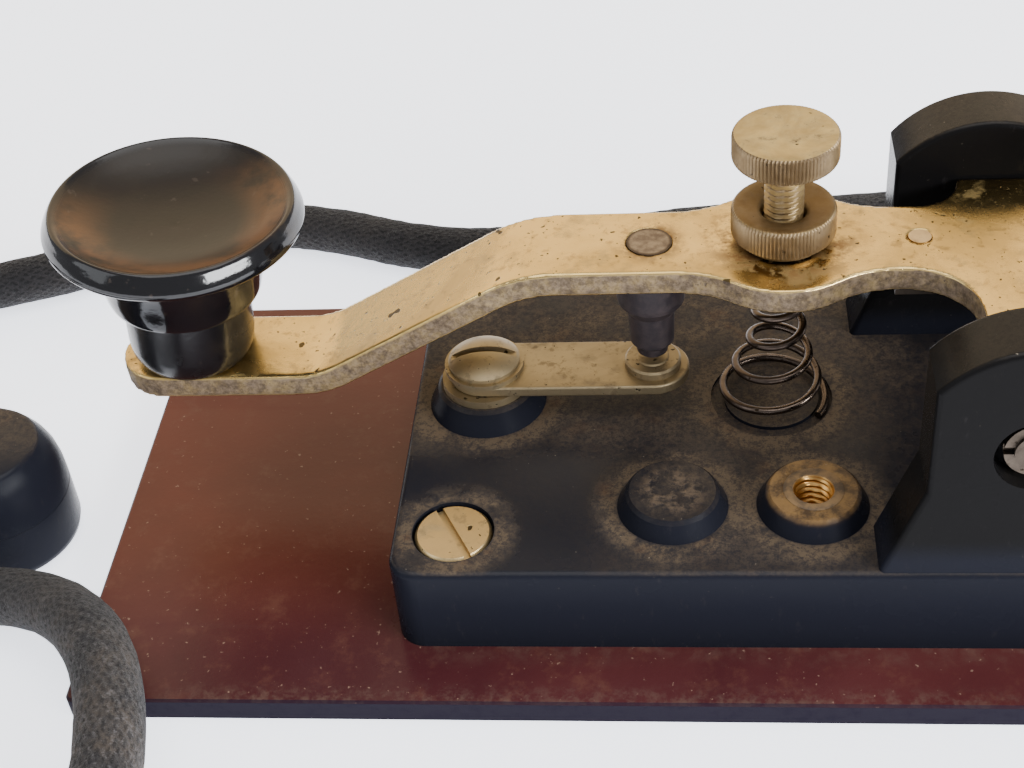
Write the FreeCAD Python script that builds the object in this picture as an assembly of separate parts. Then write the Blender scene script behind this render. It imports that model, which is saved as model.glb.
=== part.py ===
import FreeCAD, Part
import math
import os

V = FreeCAD.Vector

# Straight telegraph key on its mounting plate, with its braided cord and plug. Millimetres.
# X runs along the lever from the knob to the cord end, Y to the far side, Z up.
# The origin is under the middle of the key and its plate, on the surface they stand on.

# ---- driving dimensions ------------------------------------------------------------------
PLATE_X = (-93.0, 95.1)
PLATE_Y = (-38.1, 38.1)
PLATE_T = 3.2

BASE_X = (-53.1, 54.9)
BASE_Y = (-29.4, 25.6)
BASE_TOP = 15.7            # top face of the moulding's floor
BASE_CORNER_R = 3.5

LEVER_Y = 2.0              # centre line of the lever
LEVER_W = 12.7
LEVER_T = 3.2
LEVER_TOP = 40.5
LEVER_TIP_X = -90.2
PAD_R = 10.4               # round pads that carry the two adjusting screws
NOSE_TOP = 25.3            # top of the low flat that carries the knob

PIVOT_X = 19.8
PIVOT_Z = 33.6
PIVOT_PIN_R = 1.6
PIVOT_FIT = 0.05           # radial running clearance of the pivot points

EAR_HALF = 11.4
EAR_T = 8.0
EAR_SETBACK = (0.5, 3.5)   # the outer faces stand inside the base, near side and far side
EAR_TOP_R = 14.5
EAR_OUT = (BASE_Y[0] + EAR_SETBACK[0], BASE_Y[1] - EAR_SETBACK[1])
EAR_FLARE = 4.3
EAR_FLARE_TOP = 28.0

KNOB_X = -80.9
KNOB_R = 15.9
KNOB_LEAN = 4.2            # degrees the knob leans towards the key
KNOB_TOP = 48.0

TENSION_X = -5.9
GAP_X = 42.0
KNURL_R = 6.2
THREAD_R = 2.4
THREAD_FIT = 0.06

CONTACT_X = -21.8
STRIP_X = -43.4            # screw end of the contact strip
STRIP_TOP = 21.5
STRIP_T = 1.5
STRIP_W = 9.2

SPRING_R = (6.9, 3.0)      # wire centre radius, bottom and top
SPRING_TAPER = 10.5        # height over which the spring narrows; above it the coils are equal
SPRING_WIRE_R = 0.52
SPRING_TURNS = 4.4
SPRING_FOOT_X = TENSION_X - 0.9    # the spring leans, so its foot stands a little towards the knob

TERMINAL_X = 47.0
TERMINAL_Y = (-21.0, -7.0)
FRONT_BOSSES = (-19.4, -2.7)   # the blank one and the one with the threaded insert
BOSS_Y = -17.8
BOSS_H = 2.5

BASE_SCREWS = ((-45.7, -22.1), (47.6, 15.4))   # two mounting screws, on a diagonal

CORD_R = 3.75
CORD_Z = 3.8               # cord centre where it lies on the surface
COIL_C = (-227.0, -18.0)
COIL_R = 40.0

PLUG_NOSE = (-110.0, -7.0)     # centre of the plug's rounded end
PLUG_HEADING = -14.9           # degrees from +X, the way the rounded end points
PLUG_R = 10.0
PLUG_L = 26.0
PLUG_H = 16.4
RELIEF_L = 20.0


# ---- helpers -----------------------------------------------------------------------------
def box(x0, x1, y0, y1, z0, z1):
    return Part.makeBox(x1 - x0, y1 - y0, z1 - z0, V(x0, y0, z0))


def rod(x, y, z0, z1, r, r_top=None):
    if r_top is None:
        return Part.makeCylinder(r, z1 - z0, V(x, y, z0))
    return Part.makeCone(r, r_top, z1 - z0, V(x, y, z0))


def rod_y(x, z, y0, y1, r, r_far=None):
    if r_far is None:
        return Part.makeCylinder(r, y1 - y0, V(x, y0, z), V(0, 1, 0))
    return Part.makeCone(r, r_far, y1 - y0, V(x, y0, z), V(0, 1, 0))


def turned(x, y, profile):
    """A solid of revolution about the vertical through x, y from (radius, height) points."""
    points = [V(r, 0, z) for r, z in profile]
    face = Part.Face(Part.makePolygon(points + points[:1]))
    solid = face.revolve(V(0, 0, 0), V(0, 0, 1), 360)
    solid.translate(V(x, y, 0))
    return solid


def slab(points, z0, z1):
    """A prism over a closed outline of x, y points."""
    corners = [V(x, y, z0) for x, y in points]
    return Part.Face(Part.makePolygon(corners + corners[:1])).extrude(V(0, 0, z1 - z0))


def stadium(x0, x1, y, width, z0, z1):
    """A flat bar with round ends, from end centre x0 to end centre x1."""
    r = width / 2
    body = box(x0, x1, y - r, y + r, z0, z1)
    return body.fuse([rod(x0, y, z0, z1, r), rod(x1, y, z0, z1, r)]).removeSplitter()


def vertical_edges(shape, x_values):
    """Edges that run straight up at one of the given x values."""
    found = []
    for edge in shape.Edges:
        a, b = edge.Vertexes[0].Point, edge.Vertexes[-1].Point
        upright = abs(a.x - b.x) < 1e-6 and abs(a.y - b.y) < 1e-6
        if upright and any(abs(a.x - x) < 1e-6 for x in x_values):
            found.append(edge)
    return found


def slot_cut(x, y, z, radius, depth, angle, width=0.9):
    """The bar that cuts a screwdriver slot down from height z."""
    bar = Part.makeBox(2 * radius + 2, width, depth + 1, V(-radius - 1, -width / 2, -depth))
    bar.rotate(V(0, 0, 0), V(0, 0, 1), angle)
    bar.translate(V(x, y, z))
    return bar


def knurled(radius, z0, z1, teeth=72, depth=0.22, bevel=0.35):
    """A straight-knurled disc about the Z axis with a bevelled rim."""
    points = []
    for i in range(teeth):
        for r, part in ((radius, 0.0), (radius - depth, 0.5)):
            a = 2 * math.pi * (i + part) / teeth
            points.append((r * math.cos(a), r * math.sin(a)))
    disc = slab(points, z0, z1)
    rim = turned(0, 0, [(0, z0), (radius - bevel, z0), (radius, z0 + bevel),
                        (radius, z1 - bevel), (radius - bevel, z1), (0, z1)])
    return disc.common(rim)


def hexagon(x, y, across, z0, z1):
    r = across / math.sqrt(3)
    points = [(x + r * math.cos(math.radians(60 * i)),
               y + r * math.sin(math.radians(60 * i))) for i in range(6)]
    return slab(points, z0, z1)


def save(shape, name):
    solids = shape.Solids
    shape = solids[0] if len(solids) == 1 else Part.makeCompound(solids)
    shape.exportStep("parts/%s.step" % name)
    print("%-20s solids %d valid %s volume %.1f" % (name, len(solids), shape.isValid(), shape.Volume))


# ---- plate and moulded base --------------------------------------------------------------
def mounting_plate():
    plate = box(*PLATE_X, *PLATE_Y, 0, PLATE_T)
    plate = plate.makeFillet(1.0, vertical_edges(plate, PLATE_X))
    rim = [e for e in plate.Edges if min(v.Z for v in e.Vertexes) > PLATE_T - 1e-6]
    plate = plate.makeChamfer(0.3, rim)
    for x, y in BASE_SCREWS:
        plate = plate.cut(rod(x, y, -1, PLATE_T + 1, 2.0))
    for x in CLAMP_SCREW_X:
        plate = plate.cut(rod(x, CLAMP_Y, -1, PLATE_T + 1, 1.5))
    return plate


def ear(y0):
    """One bearing ear: round top about the pivot, upright ends and flared feet."""
    z_shoulder = PIVOT_Z + math.sqrt(EAR_TOP_R ** 2 - EAR_HALF ** 2)
    foot = EAR_HALF + EAR_FLARE
    low = BASE_TOP - 1.0
    left, right = PIVOT_X - EAR_HALF, PIVOT_X + EAR_HALF
    at = [V(PIVOT_X - foot, y0, low), V(PIVOT_X - foot, y0, BASE_TOP), V(left, y0, EAR_FLARE_TOP),
          V(left, y0, z_shoulder), V(PIVOT_X, y0, PIVOT_Z + EAR_TOP_R), V(right, y0, z_shoulder),
          V(right, y0, EAR_FLARE_TOP), V(PIVOT_X + foot, y0, BASE_TOP), V(PIVOT_X + foot, y0, low)]
    edges = [Part.makeLine(at[i], at[i + 1]) for i in (0, 1, 2, 5, 6, 7)]
    edges.insert(3, Part.Arc(at[3], at[4], at[5]).toShape())
    edges.append(Part.makeLine(at[8], at[0]))
    solid = Part.Face(Part.Wire(edges)).extrude(V(0, EAR_T, 0))
    outline = [e for e in solid.Edges if e.BoundBox.YLength < 1e-6 and e.BoundBox.ZMax > BASE_TOP + 1]
    return solid.makeFillet(0.7, outline)


def boss(x, y, height, r_base, r_top):
    """A conical boss with a small bevel round its top."""
    top = BASE_TOP + height
    return turned(x, y, [(0, BASE_TOP - 0.5), (r_base, BASE_TOP - 0.5), (r_base, BASE_TOP),
                         (r_top + 0.15, top - 0.45), (r_top - 0.3, top), (0, top)])


def key_base():
    base = box(*BASE_X, *BASE_Y, PLATE_T, BASE_TOP)
    base = base.makeFillet(BASE_CORNER_R, vertical_edges(base, BASE_X))
    rim = [e for e in base.Edges if min(v.Z for v in e.Vertexes) > BASE_TOP - 1e-6]
    base = base.makeFillet(0.9, rim)
    base = base.fuse([ear(EAR_OUT[0]), ear(EAR_OUT[1] - EAR_T)])
    for x in FRONT_BOSSES:
        base = base.fuse(boss(x, BOSS_Y, BOSS_H, 6.7, 5.5))
    base = base.fuse(boss(STRIP_X, LEVER_Y, 3.2, 7.6, 6.2))
    base = base.fuse(boss(GAP_X, LEVER_Y, 3.2, 5.6, 4.8))
    for y in TERMINAL_Y:
        base = base.fuse(boss(TERMINAL_X, y, BOSS_H, 6.2, 5.3))
    base = base.removeSplitter()

    # seats for the mounting screws, and their clearance holes
    for x, y in BASE_SCREWS:
        base = base.cut([rod(x, y, BASE_TOP - 1.6, BASE_TOP + 1, 5.0), rod(x, y, 0, BASE_TOP, 2.2)])
    # threaded places: contact strip post, rear stop, terminals and the front insert
    for x, y, r in ((STRIP_X, LEVER_Y, 1.8), (GAP_X, LEVER_Y, 2.5),
                    (TERMINAL_X, TERMINAL_Y[0], 2.0), (TERMINAL_X, TERMINAL_Y[1], 2.0)):
        base = base.cut(rod(x, y, 0, BASE_TOP + 9, r))
    base = base.cut(rod(FRONT_BOSSES[1], BOSS_Y, BASE_TOP - 6.0, BASE_TOP + 5, 3.6))
    # groove that seats the spring
    ring = rod(SPRING_FOOT_X, LEVER_Y, BASE_TOP - 0.5, BASE_TOP + 1, SPRING_R[0] + 0.8)
    base = base.cut(ring.cut(rod(SPRING_FOOT_X, LEVER_Y, BASE_TOP - 2, BASE_TOP + 2, SPRING_R[0] - 0.9)))
    # pivot holes, with a round pocket in each outer face
    for y0, y1, p0, p1 in ((EAR_OUT[0] - 1, EAR_OUT[0] + EAR_T + 1, EAR_OUT[0] - 1, EAR_OUT[0] + 3.2),
                           (EAR_OUT[1] - EAR_T - 1, EAR_OUT[1] + 1, EAR_OUT[1] - 3.2, EAR_OUT[1] + 1)):
        base = base.cut([rod_y(PIVOT_X, PIVOT_Z, y0, y1, 2.5), rod_y(PIVOT_X, PIVOT_Z, p0, p1, 4.8)])
    return base.cut(link_channels())


def link_channels():
    """Grooves in the underside for the two connecting straps, and the slot up the near ear."""
    low, top = PLATE_T - 1, LINK_TOP
    x0, x1 = STRIP_X - 4.5, TERMINAL_X + 4
    cuts = [box(x0, x1, LINK_Y - 3.5, LINK_Y + 3.5, low, top),
            box(TERMINAL_X - 4, x1, TERMINAL_Y[1] - 3.5, LINK_Y, low, top),
            box(PIVOT_X - 3.5, x1, RISER_Y - 1.0, TERMINAL_Y[0] + 3.5, low, top),
            box(PIVOT_X - 3.1, PIVOT_X + 3.1, RISER_Y - 0.6, RISER_Y + 0.6, low, PIVOT_Z + 4.2)]
    return cuts


def base_screws():
    screws = []
    for (x, y), angle in zip(BASE_SCREWS, (-62, 30)):
        z = BASE_TOP - 0.1
        head = turned(x, y, [(0, z - 1.5), (4.7, z - 1.5), (4.7, z - 0.35), (4.35, z), (0, z)])
        screw = head.fuse(rod(x, y, 0.3, z - 1.4, 2.0))
        screws.append(screw.cut(slot_cut(x, y, z, 4.7, 0.8, angle)))
    return Part.makeCompound(screws)


# ---- contacts ----------------------------------------------------------------------------
def contact_strip():
    strip = stadium(STRIP_X, CONTACT_X, LEVER_Y, STRIP_W, STRIP_TOP - STRIP_T, STRIP_TOP)
    flat_edges = [e for e in strip.Edges if e.BoundBox.ZLength < 1e-6]
    strip = strip.makeFillet(0.3, flat_edges)
    strip = strip.cut(rod(STRIP_X, LEVER_Y, 0, STRIP_TOP + 1, 1.8))
    return strip.cut(rod(CONTACT_X, LEVER_Y, 0, STRIP_TOP + 1, 1.5))


def strip_spacer():
    z0, z1 = BASE_TOP + 3.2, STRIP_TOP - STRIP_T
    return rod(STRIP_X, LEVER_Y, z0, z1, 5.6).cut(rod(STRIP_X, LEVER_Y, 0, 30, 1.8))


def strip_washer():
    return rod(STRIP_X, LEVER_Y, STRIP_TOP, STRIP_TOP + 0.7, 5.1).cut(rod(STRIP_X, LEVER_Y, 0, 30, 1.8))


def strip_screw():
    z = STRIP_TOP + 0.7
    rim = Part.Arc(V(4.6, 0, z + 0.5), V(2.5, 0, z + 1.65), V(0, 0, z + 2.0)).toShape()
    sides = [Part.makeLine(V(0, 0, z + 2.0), V(0, 0, z)), Part.makeLine(V(0, 0, z), V(4.6, 0, z)),
             Part.makeLine(V(4.6, 0, z), V(4.6, 0, z + 0.5))]
    head = Part.Face(Part.Wire([*sides, rim])).revolve(V(0, 0, 0), V(0, 0, 1), 360)
    head.translate(V(STRIP_X, LEVER_Y, 0))
    screw = head.fuse(rod(STRIP_X, LEVER_Y, PLATE_T + 1.0, z, 1.8))
    return screw.cut(slot_cut(STRIP_X, LEVER_Y, z + 2.0, 4.6, 1.2, 4, 1.0))


def lower_contact():
    top = STRIP_TOP + 1.15
    return turned(CONTACT_X, LEVER_Y, [(0, 18.6), (2.1, 18.6), (2.1, 19.4), (1.5, STRIP_TOP - STRIP_T),
                                       (1.5, STRIP_TOP), (3.57, STRIP_TOP), (3.57, top - 0.25),
                                       (3.3, top), (2.1, top), (1.9, top + 0.15), (0, top + 0.15)])


def upper_contact():
    """A rivet contact: flush tail in the lever, flared collar, stem and silver tip below."""
    under = LEVER_TOP - LEVER_T
    tip = STRIP_TOP + 1.15 + 0.15 + CONTACT_GAP
    return turned(CONTACT_X, LEVER_Y, [(0, tip), (1.6, tip), (1.95, tip + 0.35), (2.05, tip + 1.4),
                                       (2.75, tip + 2.1), (2.9, under - 6.9), (3.3, under - 6.3),
                                       (4.1, under - 5.2), (4.2, under - 4.6), (4.2, under), (2.73, under),
                                       (2.73, LEVER_TOP + 0.05), (0, LEVER_TOP + 0.05)])


CONTACT_GAP = 0.9


# ---- lever -------------------------------------------------------------------------------
def lever_plan():
    """The lever seen from above, as one face to be extruded upward."""
    half = LEVER_W / 2
    y0, y1 = LEVER_Y - half, LEVER_Y + half
    bar = box(LEVER_TIP_X + half, GAP_X, y0, y1, 0, 60)
    tip = rod(LEVER_TIP_X + half, LEVER_Y, 0, 60, half)
    cross = box(PIVOT_X - CROSS_HALF, PIVOT_X + CROSS_HALF, CROSS_Y[0], CROSS_Y[1], 0, 60)
    plan = bar.fuse([tip, cross]).removeSplitter()
    # generous fillets where the bar meets the cross arm
    for radius, low, high in ((5.2, LEVER_Y, CROSS_Y[1] - 1), (8.0, CROSS_Y[0] + 1, LEVER_Y)):
        inner = [e for e in vertical_edges(plan, (PIVOT_X - CROSS_HALF, PIVOT_X + CROSS_HALF))
                 if low < e.Vertexes[0].Point.y < high]
        plan = plan.makeFillet(radius, inner)
    # round pads under the two adjusting screws, blended into the bar
    return plan.fuse([pad(TENSION_X), pad(GAP_X, behind=False)]).removeSplitter()


def pad(x, behind=True):
    """A round pad on the bar with hollow blends ahead of it and, if asked, behind it."""
    r, blend, half = PAD_R, 12.0, LEVER_W / 2
    reach = math.sqrt((r + blend) ** 2 - (half + blend) ** 2)
    share = r / (r + blend)
    tx, ty = reach * share, (half + blend) * share
    sides = (-1, 1) if behind else (-1,)
    solid = rod(x, LEVER_Y, 0, 60, r)
    for sx in sides:
        web = slab([(x, LEVER_Y - ty), (x + sx * tx, LEVER_Y - ty), (x + sx * reach, LEVER_Y - half),
                    (x + sx * reach, LEVER_Y + half), (x + sx * tx, LEVER_Y + ty), (x, LEVER_Y + ty)], 0, 60)
        for sy in (-1, 1):
            web = web.cut(rod(x + sx * reach, LEVER_Y + sy * (half + blend), -1, 61, blend))
        solid = solid.fuse(web)
    return solid


def lever_profile():
    """Side outline: low flat, slope and level length, with round bends, as one thick sheet."""
    low, high = NOSE_TOP - LEVER_T / 2, LEVER_TOP - LEVER_T / 2
    line = [V(LEVER_TIP_X - 2, 0, low), V(-63.5, 0, low), V(-37.0, 0, high), V(GAP_X + PAD_R + 2, 0, high)]
    edges, start = [], line[0]
    for i, radius in ((1, 12.0), (2, 16.0)):
        a, b = (line[i] - line[i - 1]).normalize(), (line[i + 1] - line[i]).normalize()
        turn = math.acos(a.dot(b))
        reach = radius * math.tan(turn / 2)
        p, q = line[i] - a * reach, line[i] + b * reach
        bisect = (b - a).normalize()
        centre = line[i] + bisect * (radius / math.cos(turn / 2))
        edges += [Part.makeLine(start, p), Part.Arc(p, centre - bisect * radius, q).toShape()]
        start = q
    edges.append(Part.makeLine(start, line[-1]))
    spine = Part.Wire(edges)
    width = 60
    section = Part.Face(Part.makePolygon([V(line[0].x, -width / 2, low - LEVER_T / 2),
                                          V(line[0].x, width / 2, low - LEVER_T / 2),
                                          V(line[0].x, width / 2, low + LEVER_T / 2),
                                          V(line[0].x, -width / 2, low + LEVER_T / 2),
                                          V(line[0].x, -width / 2, low - LEVER_T / 2)]))
    return Part.Wire(spine).makePipe(section)


def lever():
    bar = lever_profile().common(lever_plan())
    bar = bar.cut(rod(KNOB_X, LEVER_Y, 0, 60, 2.1))
    bar = bar.cut(rod(CONTACT_X, LEVER_Y, 0, 60, 2.73))
    for x in (TENSION_X, GAP_X):
        bar = bar.cut(rod(x, LEVER_Y, 0, 60, THREAD_R + THREAD_FIT))
    for x in RIVET_X:
        bar = bar.cut(rod(x, LEVER_Y, 0, 60, 1.35))
    return bar


CROSS_HALF = 4.1
CROSS_Y = (EAR_OUT[0] + EAR_T + 0.4, EAR_OUT[1] - EAR_T - 0.4)
RIVET_X = (10.1, 29.5)


def pivot_block():
    """The block riveted under the lever: saddle plate, rib and the cross barrel for the pivots."""
    under = LEVER_TOP - LEVER_T
    saddle = box(RIVET_X[0] - 3, RIVET_X[1] + 3, LEVER_Y - 4.5, LEVER_Y + 4.5, under - 2.0, under)
    barrel = rod_y(PIVOT_X, PIVOT_Z, CROSS_Y[0], CROSS_Y[1], 3.4)
    web = box(PIVOT_X - 3.0, PIVOT_X + 3.0, CROSS_Y[0], CROSS_Y[1], PIVOT_Z, under)
    block = saddle.fuse([barrel, web]).removeSplitter()
    for y0, y1 in ((CROSS_Y[0] - 1, CROSS_Y[0] + 5.0), (CROSS_Y[1] - 5.0, CROSS_Y[1] + 1)):
        block = block.cut(rod_y(PIVOT_X, PIVOT_Z, y0, y1, PIVOT_PIN_R + PIVOT_FIT))
    for x in RIVET_X:
        block = block.cut(rod(x, LEVER_Y, 0, 60, 1.35))
    return block


def lever_rivets():
    under = LEVER_TOP - LEVER_T
    rivets = []
    for x in RIVET_X:
        rivets.append(turned(x, LEVER_Y, [(0, under - 3.0), (2.0, under - 3.0), (2.3, under - 2.0),
                                          (1.35, under - 2.0), (1.35, LEVER_TOP), (0, LEVER_TOP)]))
    return Part.makeCompound(rivets)


# ---- knob --------------------------------------------------------------------------------
def knob():
    """The knob leans a little on its flat; its foot is faced off level and drilled upright."""
    foot = NOSE_TOP
    half = [(0, foot - 2), (8.0, foot - 2), (8.0, foot + 9.4), (9.4, foot + 9.9), (9.8, foot + 10.8),
            (10.4, foot + 13.9), (11.2, KNOB_TOP - 6.2), (13.0, KNOB_TOP - 4.4), (14.9, KNOB_TOP - 3.4),
            (KNOB_R, KNOB_TOP - 2.2), (KNOB_R, KNOB_TOP - 1.2), (15.5, KNOB_TOP - 0.2), (14.8, KNOB_TOP),
            (14.2, KNOB_TOP - 0.3), (11.0, KNOB_TOP - 1.8), (7.5, KNOB_TOP - 2.8), (3.5, KNOB_TOP - 3.4),
            (0, KNOB_TOP - 3.6)]
    body = turned(KNOB_X, LEVER_Y, half)
    body.rotate(V(KNOB_X, LEVER_Y, foot), V(0, 1, 0), KNOB_LEAN)
    body = body.cut(box(KNOB_X - 20, KNOB_X + 20, LEVER_Y - 20, LEVER_Y + 20, foot - 8, foot))
    return body.cut(rod(KNOB_X, LEVER_Y, foot - 1, foot + 12, 2.0))


def knob_screw():
    under = NOSE_TOP - LEVER_T
    screw = turned(KNOB_X, LEVER_Y, [(0, under - 2.2), (3.3, under - 2.2), (3.7, under - 1.8),
                                     (3.7, under), (2.0, under), (2.0, NOSE_TOP + 11.0),
                                     (0, NOSE_TOP + 11.0)])
    bar = box(KNOB_X - 5, KNOB_X + 5, LEVER_Y - 0.45, LEVER_Y + 0.45, under - 3, under - 1.2)
    return screw.cut(bar)


# ---- adjusting screws --------------------------------------------------------------------
def adjusting_screw(x, tip_z, tip_r):
    """Knurled head with a dished top on a threaded rod that ends in a turned tip."""
    head_top, head_low = LEVER_TOP + 14.9, LEVER_TOP + 11.45
    head = knurled(KNURL_R, head_low, head_top)
    head = head.cut(turned(0, 0, [(0, head_top - 0.35), (2.5, head_top - 0.28), (4.6, head_top),
                                  (4.6, head_top + 1), (0, head_top + 1)]))
    head = head.fuse(rod(0, 0, head_low - 0.8, head_low, 3.4, 4.0))
    shank = rod(0, 0, tip_z + 1.6, head_low, THREAD_R)
    tip = rod(0, 0, tip_z, tip_z + 1.6, tip_r, THREAD_R)
    screw = head.fuse([shank, tip]).removeSplitter()
    screw.translate(V(x, LEVER_Y, 0))
    return screw


def lock_nut(x):
    low, top = LEVER_TOP + 0.05, LEVER_TOP + 5.0
    nut = knurled(KNURL_R, low + 1.0, top, bevel=0.5)
    nut = nut.fuse(rod(0, 0, low, low + 1.3, 4.9))
    nut = nut.cut(rod(0, 0, low - 1, top + 1, THREAD_R + THREAD_FIT))
    nut = nut.cut(rod(0, 0, top - 0.5, top + 1, THREAD_R + 0.7))
    nut.translate(V(x, LEVER_Y, 0))
    return nut


SPRING_SEAT_Z = LEVER_TOP - LEVER_T - 3.2


def tension_screw():
    """The screw that sets the spring; its tip reaches down inside the spring's top coils."""
    return adjusting_screw(TENSION_X, SPRING_SEAT_Z - 2.4, 1.4)


def spring_seat():
    """The round nut on the screw's lower end, which presses on the spring's top coil."""
    z0, z1 = SPRING_SEAT_Z - 0.2, SPRING_SEAT_Z + 1.4
    return rod(TENSION_X, LEVER_Y, z0, z1, 4.0).cut(rod(TENSION_X, LEVER_Y, z0 - 1, z1 + 1, THREAD_R))


def tension_spring():
    """A conical coil spring, wide at the bottom, standing in its groove."""
    z0 = BASE_TOP - 0.5 + SPRING_WIRE_R + 0.03
    height = SPRING_SEAT_Z - 0.2 - SPRING_WIRE_R - 0.05 - z0
    steps = int(SPRING_TURNS * 12)
    points = []
    for i in range(steps + 1):
        t = i / steps
        a = 2 * math.pi * SPRING_TURNS * t - 0.6
        rise = t ** 1.15
        narrowed = min(1.0, height * rise / SPRING_TAPER)
        r = SPRING_R[0] + (SPRING_R[1] - SPRING_R[0]) * narrowed
        x = SPRING_FOOT_X + (TENSION_X - SPRING_FOOT_X) * rise
        points.append(V(x + r * math.cos(a), LEVER_Y + r * math.sin(a), z0 + height * rise))
    curve = Part.BSplineCurve()
    curve.interpolate(points)
    start = curve.tangent(curve.FirstParameter)[0]
    ring = Part.Wire(Part.Circle(points[0], start, SPRING_WIRE_R).toShape())
    sweep = Part.BRepOffsetAPI.MakePipeShell(Part.Wire(curve.toShape()))
    sweep.setFrenetMode(True)
    sweep.add(ring)
    sweep.build()
    sweep.makeSolid()
    return sweep.shape()


ANVIL_TOP = BASE_TOP + 3.2 + 1.4


def gap_screw():
    """The screw over the rear stop; it sets how far the contacts open."""
    return adjusting_screw(GAP_X, ANVIL_TOP + 0.1, 1.7)


def rear_anvil():
    z = BASE_TOP + 3.2
    return turned(GAP_X, LEVER_Y, [(0, PLATE_T + 5.4), (2.5, PLATE_T + 5.4), (2.5, z), (4.4, z),
                                   (4.4, ANVIL_TOP - 0.3), (4.1, ANVIL_TOP), (0, ANVIL_TOP)])


# ---- pivots ------------------------------------------------------------------------------
def pivot_screws():
    """Two slotted screws through the ears, each with a plain pin that carries the barrel."""
    screws = []
    for sign, outer, inner, barrel in ((1, EAR_OUT[0] + 0.6, EAR_OUT[0] + EAR_T, CROSS_Y[0]),
                                       (-1, EAR_OUT[1] - 0.6, EAR_OUT[1] - EAR_T, CROSS_Y[1])):
        y0, y1 = sorted((outer, inner))
        body = rod_y(PIVOT_X, PIVOT_Z, y0, y1, 2.5)
        p0, p1 = sorted((inner - sign * 0.5, barrel + sign * 4.4))
        pin = rod_y(PIVOT_X, PIVOT_Z, p0, p1, PIVOT_PIN_R)
        cut = box(PIVOT_X - 0.4, PIVOT_X + 0.4, -1, 1, PIVOT_Z - 4, PIVOT_Z + 4)
        cut.translate(V(0, outer, 0))
        screws.append(body.fuse(pin).removeSplitter().cut(cut))
    return Part.makeCompound(screws)


def pivot_lock_nuts():
    """Round nuts in the ears' pockets, each with two notches for a pin wrench."""
    nuts = []
    for y0, y1, face in ((EAR_OUT[0] + 1.0, EAR_OUT[0] + 3.2, EAR_OUT[0] + 1.0),
                         (EAR_OUT[1] - 3.2, EAR_OUT[1] - 1.0, EAR_OUT[1] - 1.0)):
        nut = rod_y(PIVOT_X, PIVOT_Z, y0, y1, 3.6).cut(rod_y(PIVOT_X, PIVOT_Z, y0 - 1, y1 + 1, 2.5))
        notch = box(PIVOT_X - 4, PIVOT_X + 4, face - 0.7, face + 0.7, PIVOT_Z - 0.5, PIVOT_Z + 0.5)
        nuts.append(nut.cut(notch))
    return Part.makeCompound(nuts)


# ---- terminals and inner wiring ----------------------------------------------------------
STUD_TOP = BASE_TOP + 16.0


def terminal_stud(y):
    return turned(TERMINAL_X, y, [(0, PLATE_T + 1.0), (2.0, PLATE_T + 1.0), (2.0, STUD_TOP - 0.5),
                                  (1.5, STUD_TOP), (0, STUD_TOP)])


def terminal_washer(y, z):
    return rod(TERMINAL_X, y, z, z + 0.8, 4.9).cut(rod(TERMINAL_X, y, 0, 60, 2.0))


def terminal_nut(y):
    low = BASE_TOP + BOSS_H + 0.8 + 1.0 + 0.8 + 0.05
    nut = knurled(5.2, low + 2.0, low + 7.0, teeth=60)
    nut = nut.fuse(rod(0, 0, low, low + 2.0, 4.2))
    nut = nut.cut(rod(0, 0, low - 1, low + 9, 2.0 + THREAD_FIT))
    nut.translate(V(TERMINAL_X, y, 0))
    return nut


def terminal_insert():
    """The threaded brass bush left open in the second front boss."""
    x, top = FRONT_BOSSES[1], BASE_TOP + BOSS_H + 0.1
    bush = rod(x, BOSS_Y, BASE_TOP - 6.0, top, 3.6)
    return bush.cut(turned(x, BOSS_Y, [(0, BASE_TOP - 5.0), (2.35, BASE_TOP - 5.0), (2.35, top - 0.5),
                                       (2.9, top), (2.9, top + 1), (0, top + 1)]))


LINK_TOP = PLATE_T + 5.2
LINK_Y = LEVER_Y
RISER_Y = -24.6            # plane of the strap's upright leg inside the near ear


def front_link():
    """Strap under the base from the contact strip's post to the inner terminal."""
    low = LINK_TOP - 1.0
    strap = box(STRIP_X - 3, TERMINAL_X + 3, LINK_Y - 3, LINK_Y + 3, low, LINK_TOP)
    strap = strap.fuse(box(TERMINAL_X - 3, TERMINAL_X + 3, TERMINAL_Y[1] - 3, LINK_Y, low, LINK_TOP))
    holes = [rod(STRIP_X, LEVER_Y, 0, 20, 1.8), rod(TERMINAL_X, TERMINAL_Y[1], 0, 20, 2.0)]
    return strap.removeSplitter().cut(holes)


def lever_link():
    """Strap from the near pivot screw, down inside the ear and along to the outer terminal."""
    low = LINK_TOP - 1.0
    strap = box(PIVOT_X - 3, TERMINAL_X + 3, RISER_Y - 0.5, TERMINAL_Y[0] + 3, low, LINK_TOP)
    strap = strap.fuse(box(PIVOT_X - 3, PIVOT_X + 3, RISER_Y - 0.5, RISER_Y + 0.5, low, PIVOT_Z + 4))
    holes = [rod(TERMINAL_X, TERMINAL_Y[0], 0, 20, 2.0), rod_y(PIVOT_X, PIVOT_Z, -40, 0, 2.5)]
    return strap.removeSplitter().cut(holes)


def link_nuts():
    nuts = []
    places = ((STRIP_X, LEVER_Y, 1.8), (TERMINAL_X, TERMINAL_Y[0], 2.0), (TERMINAL_X, TERMINAL_Y[1], 2.0))
    for x, y, r in places:
        nut = hexagon(x, y, 6.0, LINK_TOP - 3.4, LINK_TOP - 1.0)
        nuts.append(nut.cut(rod(x, y, 0, 20, r)))
    return Part.makeCompound(nuts)


# ---- cord, its clamp and the plug --------------------------------------------------------
CLAMP_X = 75.0
CLAMP_Y = 15.0
CLAMP_SCREW_X = (CLAMP_X - 8.5, CLAMP_X + 8.5)
CORD_ON_PLATE = PLATE_T + CORD_R + 0.05

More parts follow.
